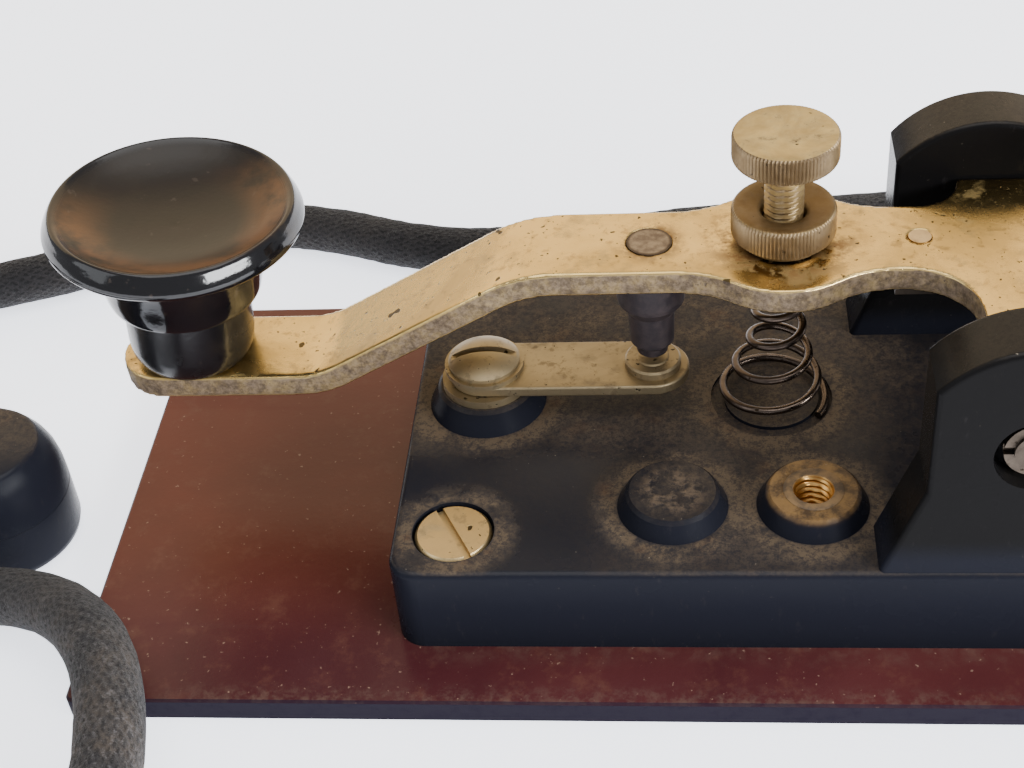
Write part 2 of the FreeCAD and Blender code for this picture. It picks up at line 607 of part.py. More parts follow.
# The cord as it lies: from the clamp, behind the key, over the plug's lead, in front of the
# plug, over the plate's near left corner and back to the coil.
ROUTE_KEY = [
    (75.0, 2.0, CORD_ON_PLATE), (75.0, 15.0, CORD_ON_PLATE), (75.0, 27.0, 7.2), (75.0, 38.7, 8.0),
    (71.0, 48.2, 6.4), (63.7, 55.5, 4.5), (54.2, 59.5, 3.8), (37.0, 60.5, 3.8), (13.0, 58.5, 3.8),
    (-15.0, 56.2, 3.8), (-37.0, 51.5, 3.8), (-57.0, 51.0, 3.8), (-76.0, 58.8, 3.8),
    (-92.0, 59.8, 3.8), (-106.5, 53.4, 3.8), (-121.5, 45.8, 3.8), (-139.5, 41.2, 3.8),
    (-155.7, 38.4, 5.6), (-169.4, 30.6, 11.0), (-177.8, 19.0, 14.8), (-180.0, 6.0, 14.9),
    (-177.2, -6.6, 11.4), (-170.0, -17.4, 6.8), (-159.6, -24.3, 4.2), (-146.6, -26.6, 3.8),
    (-132.5, -25.6, 3.8), (-119.0, -23.1, 3.9), (-106.4, -22.9, 5.4), (-96.0, -26.6, 7.9),
    (-88.2, -34.0, 9.3), (-84.0, -44.0, 8.8), (-82.8, -55.0, 6.2), (-85.6, -65.6, 4.3),
    (-92.9, -73.8, 3.9), (-103.6, -78.3, 3.8), (-117.5, -79.2, 3.8), (-138.0, -76.3, 3.8),
    (-161.0, -71.3, 3.8), (-183.0, -66.2, 3.8), (-205.0, -63.0, 3.8),
    (COIL_C[0], COIL_C[1] - COIL_R - 3.9, 3.8)]


def plug_point(along, across, z):
    """A point at a distance behind the rounded end's centre, and to the far side."""
    a = math.radians(PLUG_HEADING)
    return (PLUG_NOSE[0] - along * math.cos(a) - across * math.sin(a),
            PLUG_NOSE[1] - along * math.sin(a) + across * math.cos(a), z)


def route_plug():
    """From the coil's top turn down to the surface, under the cord that arches there, to the plug."""
    a = math.radians(PLUG_HEADING)
    leave = (COIL_C[0] - COIL_R * math.sin(a), COIL_C[1] + COIL_R * math.cos(a), CORD_Z + 6.6)
    tail, mid = PLUG_L + RELIEF_L, PLUG_H / 2
    return [leave, plug_point(tail + 53.0, 2.9, 9.6), plug_point(tail + 43.0, 2.4, 6.7),
            plug_point(tail + 33.0, 1.7, 4.2), plug_point(tail + 22.5, 0.7, 4.3),
            plug_point(tail + 11.5, 0, mid), plug_point(tail, 0, mid)]


def tube(points, r, label):
    """A round tube along straight runs joined by tangent arcs, and its length."""
    p = [V(*q) for q in points]
    runs = [(p[i + 1] - p[i]).Length for i in range(len(p) - 1)]
    edges, start, radii = [], p[0], []
    for i in range(1, len(p) - 1):
        a, b = (p[i] - p[i - 1]).normalize(), (p[i + 1] - p[i]).normalize()
        turn = math.acos(max(-1.0, min(1.0, a.dot(b))))
        reach = 0.45 * min(runs[i - 1], runs[i])
        radius = reach / math.tan(turn / 2)
        radii.append(radius)
        s, e = p[i] - a * reach, p[i] + b * reach
        bisect = (b - a).normalize()
        centre = p[i] + bisect * (radius / math.cos(turn / 2))
        edges += [Part.LineSegment(start, s).toShape(), Part.Arc(s, centre - bisect * radius, e).toShape()]
        start = e
    edges.append(Part.LineSegment(start, p[-1]).toShape())
    path = Part.Wire(edges)
    ring = Part.Wire(Part.Circle(p[0], (p[1] - p[0]).normalize(), r).toShape())
    sweep = Part.BRepOffsetAPI.MakePipeShell(path)
    sweep.add(ring)
    sweep.build()
    sweep.makeSolid()
    solid = sweep.shape()
    length = path.Length
    print("%s length %.1f mm, smallest radius %.1f, runs %.1f to %.1f, volume ratio %.4f" % (
        label, length, min(radii), min(runs), max(runs), solid.Volume / (math.pi * r * r * length)))
    print("  radii " + " ".join("%.0f" % q for q in radii))
    return solid


def cord_coil():
    """The outer shape of the coil: two turns side by side with others lying on them."""
    side, top = 4.0, CORD_Z + 6.6 + CORD_R
    inner, outer = COIL_R - side - CORD_R, COIL_R + side + CORD_R
    section = [(inner, 1.4), (inner + 1.6, 0.05), (outer - 1.6, 0.05), (outer, 1.4), (outer, 6.0),
               (COIL_R + side + 0.6, 9.6), (COIL_R + 2.6, top - 0.4), (COIL_R + 1.2, top),
               (COIL_R - 1.2, top), (COIL_R - 2.6, top - 0.4), (COIL_R - side - 0.6, 9.6), (inner, 6.0)]
    ring = turned(COIL_C[0], COIL_C[1], section)
    x, y = COIL_C[0] - COIL_R, COIL_C[1]
    return ring.cut(box(x - 12, x + 12, y - 3.6, y + 3.6, -1, 0.8))


def coil_tie():
    """A tape tie wrapped round the coil's bundle on its far left."""
    x, y = COIL_C[0] - COIL_R, COIL_C[1]
    outer = box(x - 8.6, x + 8.6, y - 3.5, y + 3.5, 0.0, CORD_Z + 6.6 + CORD_R + 0.8)
    rounded = outer.makeFillet(2.2, [e for e in outer.Edges if e.BoundBox.YLength > 6.9])
    return rounded.cut(cord_coil())


def cord_clamp():
    """A bent metal saddle over the cord, with a screw ear each side."""
    z0, t, w = PLATE_T, 1.0, 4.0
    y0, y1 = CLAMP_Y - w, CLAMP_Y + w
    outer = rod_y(CLAMP_X, CORD_ON_PLATE, y0, y1, CORD_R + 0.1 + t)
    outer = outer.fuse(box(CLAMP_X - CORD_R - 0.1 - t, CLAMP_X + CORD_R + 0.1 + t, y0, y1, z0, CORD_ON_PLATE))
    ears = box(CLAMP_X - 12.0, CLAMP_X + 12.0, y0, y1, z0, z0 + t)
    inner = rod_y(CLAMP_X, CORD_ON_PLATE, y0 - 1, y1 + 1, CORD_R + 0.1)
    inner = inner.fuse(box(CLAMP_X - CORD_R - 0.1, CLAMP_X + CORD_R + 0.1, y0 - 1, y1 + 1, z0 - 1, CORD_ON_PLATE))
    clamp = outer.fuse(ears).cut(inner).cut(box(-200, 200, -200, 200, -5, z0))
    for x in CLAMP_SCREW_X:
        clamp = clamp.cut(rod(x, CLAMP_Y, 0, 20, 1.5))
    return clamp.removeSplitter()


def clamp_screws():
    screws = []
    for x, angle in zip(CLAMP_SCREW_X, (35, -20)):
        z = PLATE_T + 1.0
        screw = turned(x, CLAMP_Y, [(0, 0.3), (1.5, 0.3), (1.5, z), (2.9, z), (2.9, z + 0.9),
                                    (2.3, z + 1.6), (0, z + 1.9)])
        screws.append(screw.cut(slot_cut(x, CLAMP_Y, z + 1.9, 2.9, 0.9, angle, 0.7)))
    return Part.makeCompound(screws)


LUG_Z = BASE_TOP + BOSS_H + 0.8

# The two cores, side by side out of the cord's cut end, each to its own terminal.
CORE_NEAR = [(76.7, 2.0, CORD_ON_PLATE), (76.7, -4.6, CORD_ON_PLATE), (75.6, -12.4, 8.8),
             (70.2, -18.4, 12.8), (63.4, -20.6, 17.4), (58.4, TERMINAL_Y[0], LUG_Z + 0.5),
             (TERMINAL_X + 6.6, TERMINAL_Y[0], LUG_Z + 0.5)]
CORE_FAR = [(73.3, 2.0, CORD_ON_PLATE), (73.3, -2.2, CORD_ON_PLATE), (71.8, -6.2, 8.8),
            (67.9, -8.3, 12.2), (63.4, -8.1, 16.6), (58.6, TERMINAL_Y[1], LUG_Z + 0.5),
            (TERMINAL_X + 6.6, TERMINAL_Y[1], LUG_Z + 0.5)]
CORE_R = 1.3


def ring_lugs():
    """The flat ring tag on each core, with the barrel that grips the wire."""
    z = LUG_Z
    lugs = []
    for y in TERMINAL_Y:
        ring = rod(TERMINAL_X, y, z, z + 1.0, 4.4)
        tail = box(TERMINAL_X + 3.5, TERMINAL_X + 6.6, y - 1.7, y + 1.7, z, z + 1.0)
        lug = ring.fuse(tail).cut(rod(TERMINAL_X, y, 0, 60, 2.0))
        lugs.append(lug.removeSplitter())
    return Part.makeCompound(lugs)


def in_plug_frame(shape):
    """Turns a shape modelled with the plug's tail along +X to where the plug lies."""
    shape.rotate(V(0, 0, 0), V(0, 0, 1), 180 + PLUG_HEADING)
    shape.translate(V(PLUG_NOSE[0], PLUG_NOSE[1], 0))
    return shape


def stadium_end(r, length, z0, z1):
    return box(0, length, -r, r, z0, z1).fuse(rod(0, 0, z0, z1, r)).removeSplitter()


def plug_body():
    """The lower half of the moulded plug, with the wire chamber and the pin seats."""
    body = stadium_end(PLUG_R, PLUG_L, 0, PLUG_H / 2)
    low = [e for e in body.Edges if e.BoundBox.ZLength < 1e-6 and e.BoundBox.ZMin < 0.1]
    body = body.makeFillet(2.0, low)
    return in_plug_frame(plug_hollow(body))


def plug_cover():
    """The upper half, with its broad rounded shoulder."""
    body = stadium_end(PLUG_R, PLUG_L, PLUG_H / 2, PLUG_H)
    top = [e for e in body.Edges if e.BoundBox.ZLength < 1e-6 and e.BoundBox.ZMin > PLUG_H - 0.1]
    body = body.makeFillet(4.2, top)
    body = body.cut(rod(1.0, 0, PLUG_H - 2.0, PLUG_H + 1, 3.0)).cut(rod(1.0, 0, 0, PLUG_H + 1, 1.5))
    return in_plug_frame(plug_hollow(body))


def plug_hollow(body):
    """Takes out the wire chamber, the cord seat and the two pin seats."""
    mid = PLUG_H / 2
    chamber = box(5.0, PLUG_L - 2.2, -6.6, 6.6, mid - 6.1, mid + 6.1)
    seat = Part.makeCylinder(4.4, 4.0, V(PLUG_L - 3.0, 0, mid), V(1, 0, 0))
    cuts = [chamber, seat]
    for z in PIN_Z:
        cuts.append(rod_y(PIN_ALONG, z, -PLUG_R - 1, -4.0, 1.6))
    screw_way = rod(1.0, 0, 2.5, PLUG_H / 2 + 0.5, 1.5)
    return body.cut([*cuts, screw_way])


PIN_ALONG = 21.0
PIN_Z = (PLUG_H / 2 - 3.6, PLUG_H / 2 + 3.6)


def plug_pins():
    pins = []
    for z in PIN_Z:
        shaft = rod_y(PIN_ALONG, z, -PLUG_R - 14.0, -4.6, 1.6)
        nose = Part.makeSphere(1.6, V(PIN_ALONG, -PLUG_R - 14.0, z))
        head = rod_y(PIN_ALONG, z, -5.9, -4.4, 2.4)
        pins.append(shaft.fuse([nose, head]).removeSplitter())
    return in_plug_frame(Part.makeCompound(pins))


def plug_cores():
    """The two cores inside the plug, each looped forward and back to its pin."""
    cores = []
    for side, pin_z in zip((-1, 1), PIN_Z):
        z0, step = PLUG_H / 2 + side * 1.3, (pin_z - PLUG_H / 2 - side * 1.3) / 4
        route = [(PLUG_L - 2.2, 1.6, z0), (18.6, 1.6, z0), (14.2, 0.4, z0 + step),
                 (12.2, -2.8, z0 + 3 * step), (14.2, -5.2, pin_z), (PIN_ALONG - 2.4, -5.2, pin_z)]
        cores.append(tube(route, 0.9, "plug core"))
    return in_plug_frame(Part.makeCompound(cores))


def plug_screw():
    screw = rod(1.0, 0, 3.0, PLUG_H - 2.0, 1.5).fuse(rod(1.0, 0, PLUG_H - 2.0, PLUG_H - 0.4, 2.8))
    screw = screw.cut(slot_cut(1.0, 0, PLUG_H - 0.4, 2.8, 0.7, 40, 0.7))
    return in_plug_frame(screw)


def strain_relief():
    """A tapered sleeve on the cord where it enters the plug."""
    mid = PLUG_H / 2
    inside = Part.makeCylinder(4.4, 2.2, V(PLUG_L - 2.2, 0, mid), V(1, 0, 0))
    collar = Part.makeCylinder(5.9, 2.0, V(PLUG_L, 0, mid), V(1, 0, 0))
    taper = Part.makeCone(5.5, 4.5, RELIEF_L - 2.0, V(PLUG_L + 2.0, 0, mid), V(1, 0, 0))
    return in_plug_frame(inside.fuse([collar, taper]).removeSplitter())


# ---- write every piece -------------------------------------------------------------------
os.makedirs("parts", exist_ok=True)
save(mounting_plate(), "mounting_plate")
save(key_base(), "key_base")
save(base_screws(), "base_screws")
save(contact_strip(), "contact_strip")
save(strip_spacer(), "strip_spacer")
save(strip_washer(), "strip_washer")
save(strip_screw(), "strip_screw")
save(lower_contact(), "lower_contact")
save(upper_contact(), "upper_contact")
save(lever(), "lever")
save(pivot_block(), "pivot_block")
save(lever_rivets(), "lever_rivets")
save(knob(), "knob")
save(knob_screw(), "knob_screw")
save(tension_screw(), "tension_screw")
save(lock_nut(TENSION_X), "tension_lock_nut")
save(spring_seat(), "spring_seat")
save(tension_spring(), "tension_spring")
save(gap_screw(), "gap_screw")
save(lock_nut(GAP_X), "gap_lock_nut")
save(rear_anvil(), "rear_anvil")
save(pivot_screws(), "pivot_screws")
save(pivot_lock_nuts(), "pivot_lock_nuts")
save(terminal_insert(), "terminal_insert")
save(front_link(), "front_link")
save(lever_link(), "lever_link")
save(link_nuts(), "link_nuts")
save(ring_lugs(), "ring_lugs")
washers = []
for name, y in (("near", TERMINAL_Y[0]), ("far", TERMINAL_Y[1])):
    save(terminal_stud(y), "terminal_stud_" + name)
    save(terminal_nut(y), "terminal_nut_" + name)
    washers += [terminal_washer(y, BASE_TOP + BOSS_H), terminal_washer(y, BASE_TOP + BOSS_H + 1.8)]
save(Part.makeCompound(washers), "terminal_washers")
save(tube(CORE_NEAR, CORE_R, "core_near"), "core_near")
save(tube(CORE_FAR, CORE_R, "core_far"), "core_far")
save(cord_clamp(), "cord_clamp")
save(clamp_screws(), "clamp_screws")
save(tube(ROUTE_KEY, CORD_R, "cord_from_key"), "cord_from_key")
save(tube(route_plug(), CORD_R, "cord_to_plug"), "cord_to_plug")
save(cord_coil(), "cord_coil")
save(coil_tie(), "coil_tie")
save(strain_relief(), "strain_relief")
save(plug_body(), "plug_body")
save(plug_cover(), "plug_cover")
save(plug_pins(), "plug_pins")
save(plug_cores(), "plug_cores")
save(plug_screw(), "plug_screw")
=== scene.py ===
import bpy
import math
from mathutils import Matrix, Vector, noise


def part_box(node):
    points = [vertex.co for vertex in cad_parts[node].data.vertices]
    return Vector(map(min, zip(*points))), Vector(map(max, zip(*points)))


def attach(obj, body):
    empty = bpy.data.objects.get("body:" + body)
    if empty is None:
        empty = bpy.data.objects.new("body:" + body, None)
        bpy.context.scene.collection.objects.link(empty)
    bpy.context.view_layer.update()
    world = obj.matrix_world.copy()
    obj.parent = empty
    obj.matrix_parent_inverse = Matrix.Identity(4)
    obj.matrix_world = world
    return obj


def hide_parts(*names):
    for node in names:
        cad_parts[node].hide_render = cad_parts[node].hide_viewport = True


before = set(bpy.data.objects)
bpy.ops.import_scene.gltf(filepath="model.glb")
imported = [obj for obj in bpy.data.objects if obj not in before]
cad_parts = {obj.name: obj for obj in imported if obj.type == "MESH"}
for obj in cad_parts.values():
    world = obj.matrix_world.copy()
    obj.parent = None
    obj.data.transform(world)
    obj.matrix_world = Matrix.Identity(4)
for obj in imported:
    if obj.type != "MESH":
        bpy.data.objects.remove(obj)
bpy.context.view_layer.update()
MM = 0.001

# The camera: where it stands in millimetres, the way it faces in degrees, and its lens.
CAMERA_AT = (-16.725, -163.036, 160.012)
CAMERA_YAW, CAMERA_PITCH, CAMERA_ROLL = -8.071, -40.378, -5.977
CAMERA_LENS = 59.27

# Places of the key's pieces, in millimetres in the CAD frame.
LEVER_Y = 2.0              # centre line of the lever
LEVER_TOP = 40.5
TENSION_X = -5.9
GAP_X = 42.0
CONTACT_X = -21.8
KNOB_X, KNOB_FOOT, KNOB_TOP, KNOB_LEAN = -80.9, 25.3, 48.0, 4.2
DISH_X = -79.2             # centre of the leaning knob's dish
BLANK_BOSS_X, THREAD_BOSS_X, BOSS_Y = -19.4, -2.7, -17.8
TERMINAL_X, TERMINAL_Y = 47.0, (-21.0, -7.0)
PLUG_NOSE, PLUG_TURN = (-110.0, -7.0, 0.0), 165.1
INSERT_THREAD_R = 2.34


# ---- camera ------------------------------------------------------------------------------
def make_camera():
    """A close view from the near side, a little left of the middle, tilted slightly."""
    yaw, pitch, roll = (math.radians(a) for a in (CAMERA_YAW, CAMERA_PITCH, CAMERA_ROLL))
    forward = Vector((math.sin(yaw) * math.cos(pitch), math.cos(yaw) * math.cos(pitch), math.sin(pitch)))
    level = Vector((math.cos(yaw), -math.sin(yaw), 0.0))
    rise = level.cross(forward)
    right = level * math.cos(roll) + rise * math.sin(roll)
    up = rise * math.cos(roll) - level * math.sin(roll)
    data = bpy.data.cameras.new("camera")
    data.sensor_width = 36.0
    data.lens = CAMERA_LENS
    data.clip_start = 0.005
    cam = bpy.data.objects.new("camera", data)
    turn = Matrix((right, up, -forward)).transposed().to_4x4()
    cam.matrix_world = Matrix.Translation(Vector(CAMERA_AT) * MM) @ turn
    bpy.context.scene.collection.objects.link(cam)
    bpy.context.scene.camera = cam


make_camera()


# ---- mesh helpers ------------------------------------------------------------------------
def new_piece(name, verts, faces, body):
    """A smooth-shaded mesh that rides on a CAD body."""
    mesh = bpy.data.meshes.new(name)
    mesh.from_pydata([tuple(v) for v in verts], [], faces)
    mesh.validate()
    mesh.shade_smooth()
    obj = bpy.data.objects.new(name, mesh)
    bpy.context.scene.collection.objects.link(obj)
    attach(obj, body)
    return obj


def soften(obj, angle=32.0):
    """Smooth shading, with edges sharper than the angle kept crisp."""
    obj.data.shade_smooth()
    obj.data.set_sharp_from_angle(angle=math.radians(angle))


def lathe(profile, segments, place=Matrix.Identity(4), teeth=0):
    """Rings round the Z axis from (radius, height, knurl depth) points; the ends close at radius 0."""
    verts, faces, rings = [], [], []
    for r, z, depth in profile:
        if r < 1e-6:
            rings.append([len(verts)])
            verts.append(place @ Vector((0, 0, z * MM)))
            continue
        ring = []
        for i in range(segments):
            a = 2 * math.pi * i / segments
            here = r - (depth * (0.5 - 0.5 * math.cos(a * teeth)) if teeth else 0.0)
            ring.append(len(verts))
            verts.append(place @ Vector((here * math.cos(a) * MM, here * math.sin(a) * MM, z * MM)))
        rings.append(ring)
    for low, high in zip(rings, rings[1:]):
        for i in range(segments):
            j = (i + 1) % segments
            if len(low) == 1 and len(high) == 1:
                continue
            if len(low) == 1:
                faces.append((low[0], high[j], high[i]))
            elif len(high) == 1:
                faces.append((low[i], low[j], high[0]))
            else:
                faces.append((low[i], low[j], high[j], high[i]))
    return verts, faces


def thread_rings(z0, z1, r, pitch, depth, place):
    """Rings of a screw thread from z0 up to z1, running out to the root at both ends."""
    steps, segments, taper = 8, 48, 1.2
    rings = []
    count = int((z1 - z0) / pitch * steps)
    for k in range(count + 1):
        z = z0 + (z1 - z0) * k / count
        fade = min(1.0, (z - z0) / taper, (z1 - z) / taper)
        ring = []
        for i in range(segments):
            a = 2 * math.pi * i / segments
            phase = (z / pitch - i / segments) % 1.0
            groove = abs(2 * phase - 1)
            radius = r - depth * (1 - fade) - depth * fade * min(1.0, 1.25 * groove)
            ring.append(place @ Vector((radius * math.cos(a) * MM, radius * math.sin(a) * MM, z * MM)))
        rings.append(ring)
    return rings


def skin(rings, closed_high=True, flip=False):
    """Quads between rings of equal count, with a face over the first ring and over the last."""
    verts, faces = [], []
    n = len(rings[0])
    for ring in rings:
        verts += ring
    for k in range(len(rings) - 1):
        for i in range(n):
            j = (i + 1) % n
            a, b = k * n, (k + 1) * n
            face = (a + i, a + j, b + j, b + i)
            faces.append(face[::-1] if flip else face)
    faces.append(tuple(reversed(range(n))))
    if closed_high:
        faces.append(tuple(range((len(rings) - 1) * n, len(rings) * n)))
    return verts, faces


def merge(*parts):
    """Several (verts, faces) pairs as one."""
    verts, faces = [], []
    for v, f in parts:
        base = len(verts)
        verts += list(v)
        faces += [tuple(i + base for i in face) for face in f]
    return verts, faces


def smooth_profile(points, per_span):
    """Catmull-Rom points through a (radius, height) profile, as lathe takes them."""
    out = []
    for i in range(len(points) - 1):
        p0, p1 = points[max(i - 1, 0)], points[i]
        p2, p3 = points[i + 1], points[min(i + 2, len(points) - 1)]
        for k in range(per_span):
            t = k / per_span
            out.append(tuple(0.5 * (2 * b + (c - a) * t + (2 * a - 5 * b + 4 * c - d) * t * t
                                    + (3 * b - a - 3 * c + d) * t ** 3)
                             for a, b, c, d in zip(p0, p1, p2, p3)))
    out.append(tuple(points[-1]))
    return [(max(r, 0.0), z, 0.0) for r, z in out]


# ---- the cord ----------------------------------------------------------------------------
CORD_D = 7.5
ROUTE_KEY = [
    (75.0, 2.0, 7.0), (75.0, 15.0, 7.0), (75.0, 27.0, 7.2), (75.0, 38.7, 8.0),
    (71.0, 48.2, 6.4), (63.7, 55.5, 4.5), (54.2, 59.5, 3.8), (37.0, 60.5, 3.8), (13.0, 58.5, 3.8),
    (-15.0, 56.2, 3.8), (-37.0, 51.5, 3.8), (-57.0, 51.0, 3.8), (-76.0, 58.8, 3.8),
    (-92.0, 59.8, 3.8), (-106.5, 53.4, 3.8), (-121.5, 45.8, 3.8), (-139.5, 41.2, 3.8),
    (-155.7, 38.4, 5.6), (-169.4, 30.6, 11.0), (-177.8, 19.0, 14.8), (-180.0, 6.0, 14.9),
    (-177.2, -6.6, 11.4), (-170.0, -17.4, 6.8), (-159.6, -24.3, 4.2), (-146.6, -26.6, 3.8),
    (-132.5, -25.6, 3.8), (-119.0, -23.1, 3.9), (-106.4, -22.9, 5.4), (-96.0, -26.6, 7.9),
    (-88.2, -34.0, 9.3), (-84.0, -44.0, 8.8), (-82.8, -55.0, 6.2), (-85.6, -65.6, 4.3),
    (-92.9, -73.8, 3.9), (-103.6, -78.3, 3.8), (-117.5, -79.2, 3.8), (-138.0, -76.3, 3.8),
    (-161.0, -71.3, 3.8), (-183.0, -66.2, 3.8), (-205.0, -63.0, 3.8)]
ROUTE_PLUG = [
    (-204.9, 21.3, 9.6), (-195.4, 18.2, 6.7), (-185.9, 15.0, 4.2), (-176.0, 11.3, 4.3),
    (-165.6, 7.8, 8.2), (-154.5, 4.8, 8.2)]
COIL_C = (-227.0, -18.0)


def blend_value(x, stops):
    """The value at x between (place, value) stops, easing in and out of each."""
    for (x0, v0), (x1, v1) in zip(stops, stops[1:]):
        if x <= x1:
            t = max(0.0, (x - x0) / (x1 - x0))
            t = t * t * (3 - 2 * t)
            return v0 + (v1 - v0) * t
    return stops[-1][1]


def coil_points():
    """The wound length: an outer turn, an inner turn beside it and a last one lying on both."""
    radius = [(0, 43.9), (240, 43.9), (345, 36.3), (600, 36.3), (705, 40.0), (915, 40.0)]
    height = [(0, 3.8), (588, 3.8), (668, 10.4), (915, 10.4)]
    points, total, step = [], 914.9, 15.25
    for k in range(int(total / step) + 1):
        turn = min(k * step, total)
        a = math.radians(-90.0 - turn)
        r = blend_value(turn, radius) / math.cos(math.radians(step / 2)) ** 0.9
        points.append((COIL_C[0] + r * math.cos(a), COIL_C[1] + r * math.sin(a), blend_value(turn, height)))
    return points


def spline_line(route):
    """Points along a NURBS spline that has the route as its control points, in metres."""
    curve = bpy.data.curves.new("route", "CURVE")
    curve.dimensions = "3D"
    curve.resolution_u = 8
    spline = curve.splines.new("NURBS")
    spline.points.add(len(route) - 1)
    for point, q in zip(spline.points, route):
        point.co = (q[0] * MM, q[1] * MM, q[2] * MM, 1.0)
    spline.order_u = 3
    spline.use_endpoint_u = True
    carrier = bpy.data.objects.new("route", curve)
    bpy.context.scene.collection.objects.link(carrier)
    mesh = bpy.data.meshes.new_from_object(carrier)
    line = [v.co.copy() for v in mesh.vertices]
    bpy.data.objects.remove(carrier)
    bpy.data.meshes.remove(mesh)
    return line


def even_line(line, step):
    """The same line as points a fixed distance apart."""
    length = sum((b - a).length for a, b in zip(line, line[1:]))
    count = max(2, round(length / step))
    gap, out, left, i = length / count, [line[0].copy()], 0.0, 0
    want = gap
    while len(out) < count and i < len(line) - 1:
        run = (line[i + 1] - line[i]).length
        if left + run >= want:
            out.append(line[i].lerp(line[i + 1], (want - left) / run))
            want += gap
        else:
            left += run
            i += 1
    out.append(line[-1].copy())
    return out, length


def tube_mesh(line, radius_at, around):
    """A tube round the line, and the length of the line up to each of its rings."""
    side = Vector((0, 0, 1))
    rings, along, total = [], [], 0.0
    for i, p in enumerate(line):
        ahead = (line[min(i + 1, len(line) - 1)] - line[max(i - 1, 0)]).normalized()
        side = (side - ahead * side.dot(ahead)).normalized()
        other = ahead.cross(side)
        if i:
            total += (p - line[i - 1]).length
        along.append(total)
        ring = []
        for k in range(around):
            a = 2 * math.pi * k / around
            out = side * math.cos(a) + other * math.sin(a)
            ring.append(p + out * radius_at(total, a, p))
        rings.append(ring)
    verts, faces = skin(rings, flip=True)
    return verts, faces, along


def add_uv(obj, along, around, girth):
    """UVs in metres, along the tube and round it; the end caps keep zero."""
    layer = obj.data.uv_layers.new(name="braid")
    for poly in obj.data.polygons:
        if poly.loop_total != 4:
            continue
        columns = [obj.data.loops[i].vertex_index % around for i in poly.loop_indices]
        wraps = max(columns) - min(columns) > 1
        for loop_index in poly.loop_indices:
            v = obj.data.loops[loop_index].vertex_index
            column = v % around
            if wraps and column == 0:
                column = around
            layer.data[loop_index].uv = (along[v // around], girth * column / around)


def make_cord():
    """The whole cord as one uneven tube, a little swollen where it bends in front of the knob."""
    route = ROUTE_KEY + coil_points() + ROUTE_PLUG
    line, length = even_line(spline_line(route), 0.0011)
    around = 28

    def radius_at(s, a, p):
        swell = blend_value(-p.y / MM, [(20.0, -0.03), (36.0, 0.10), (60.0, 0.10), (72.0, 0.0)])
        lumps = noise.noise(Vector((s * 130, a * 0.8, 3.0))) * 0.05 * MM
        worn = noise.noise(Vector((s * 520, math.cos(a) * 1.7, math.sin(a) * 1.7))) * 0.13 * MM
        return (CORD_D / 2 - 0.02) * (1 + swell) * MM + lumps + worn

    verts, faces, along = tube_mesh(line, radius_at, around)
    cord = new_piece("lead_cord", verts, faces, "root")
    add_uv(cord, along, around, math.pi * CORD_D * MM)
    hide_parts("cord_from_key", "cord_coil", "cord_to_plug")
    return cord


CORD = make_cord()


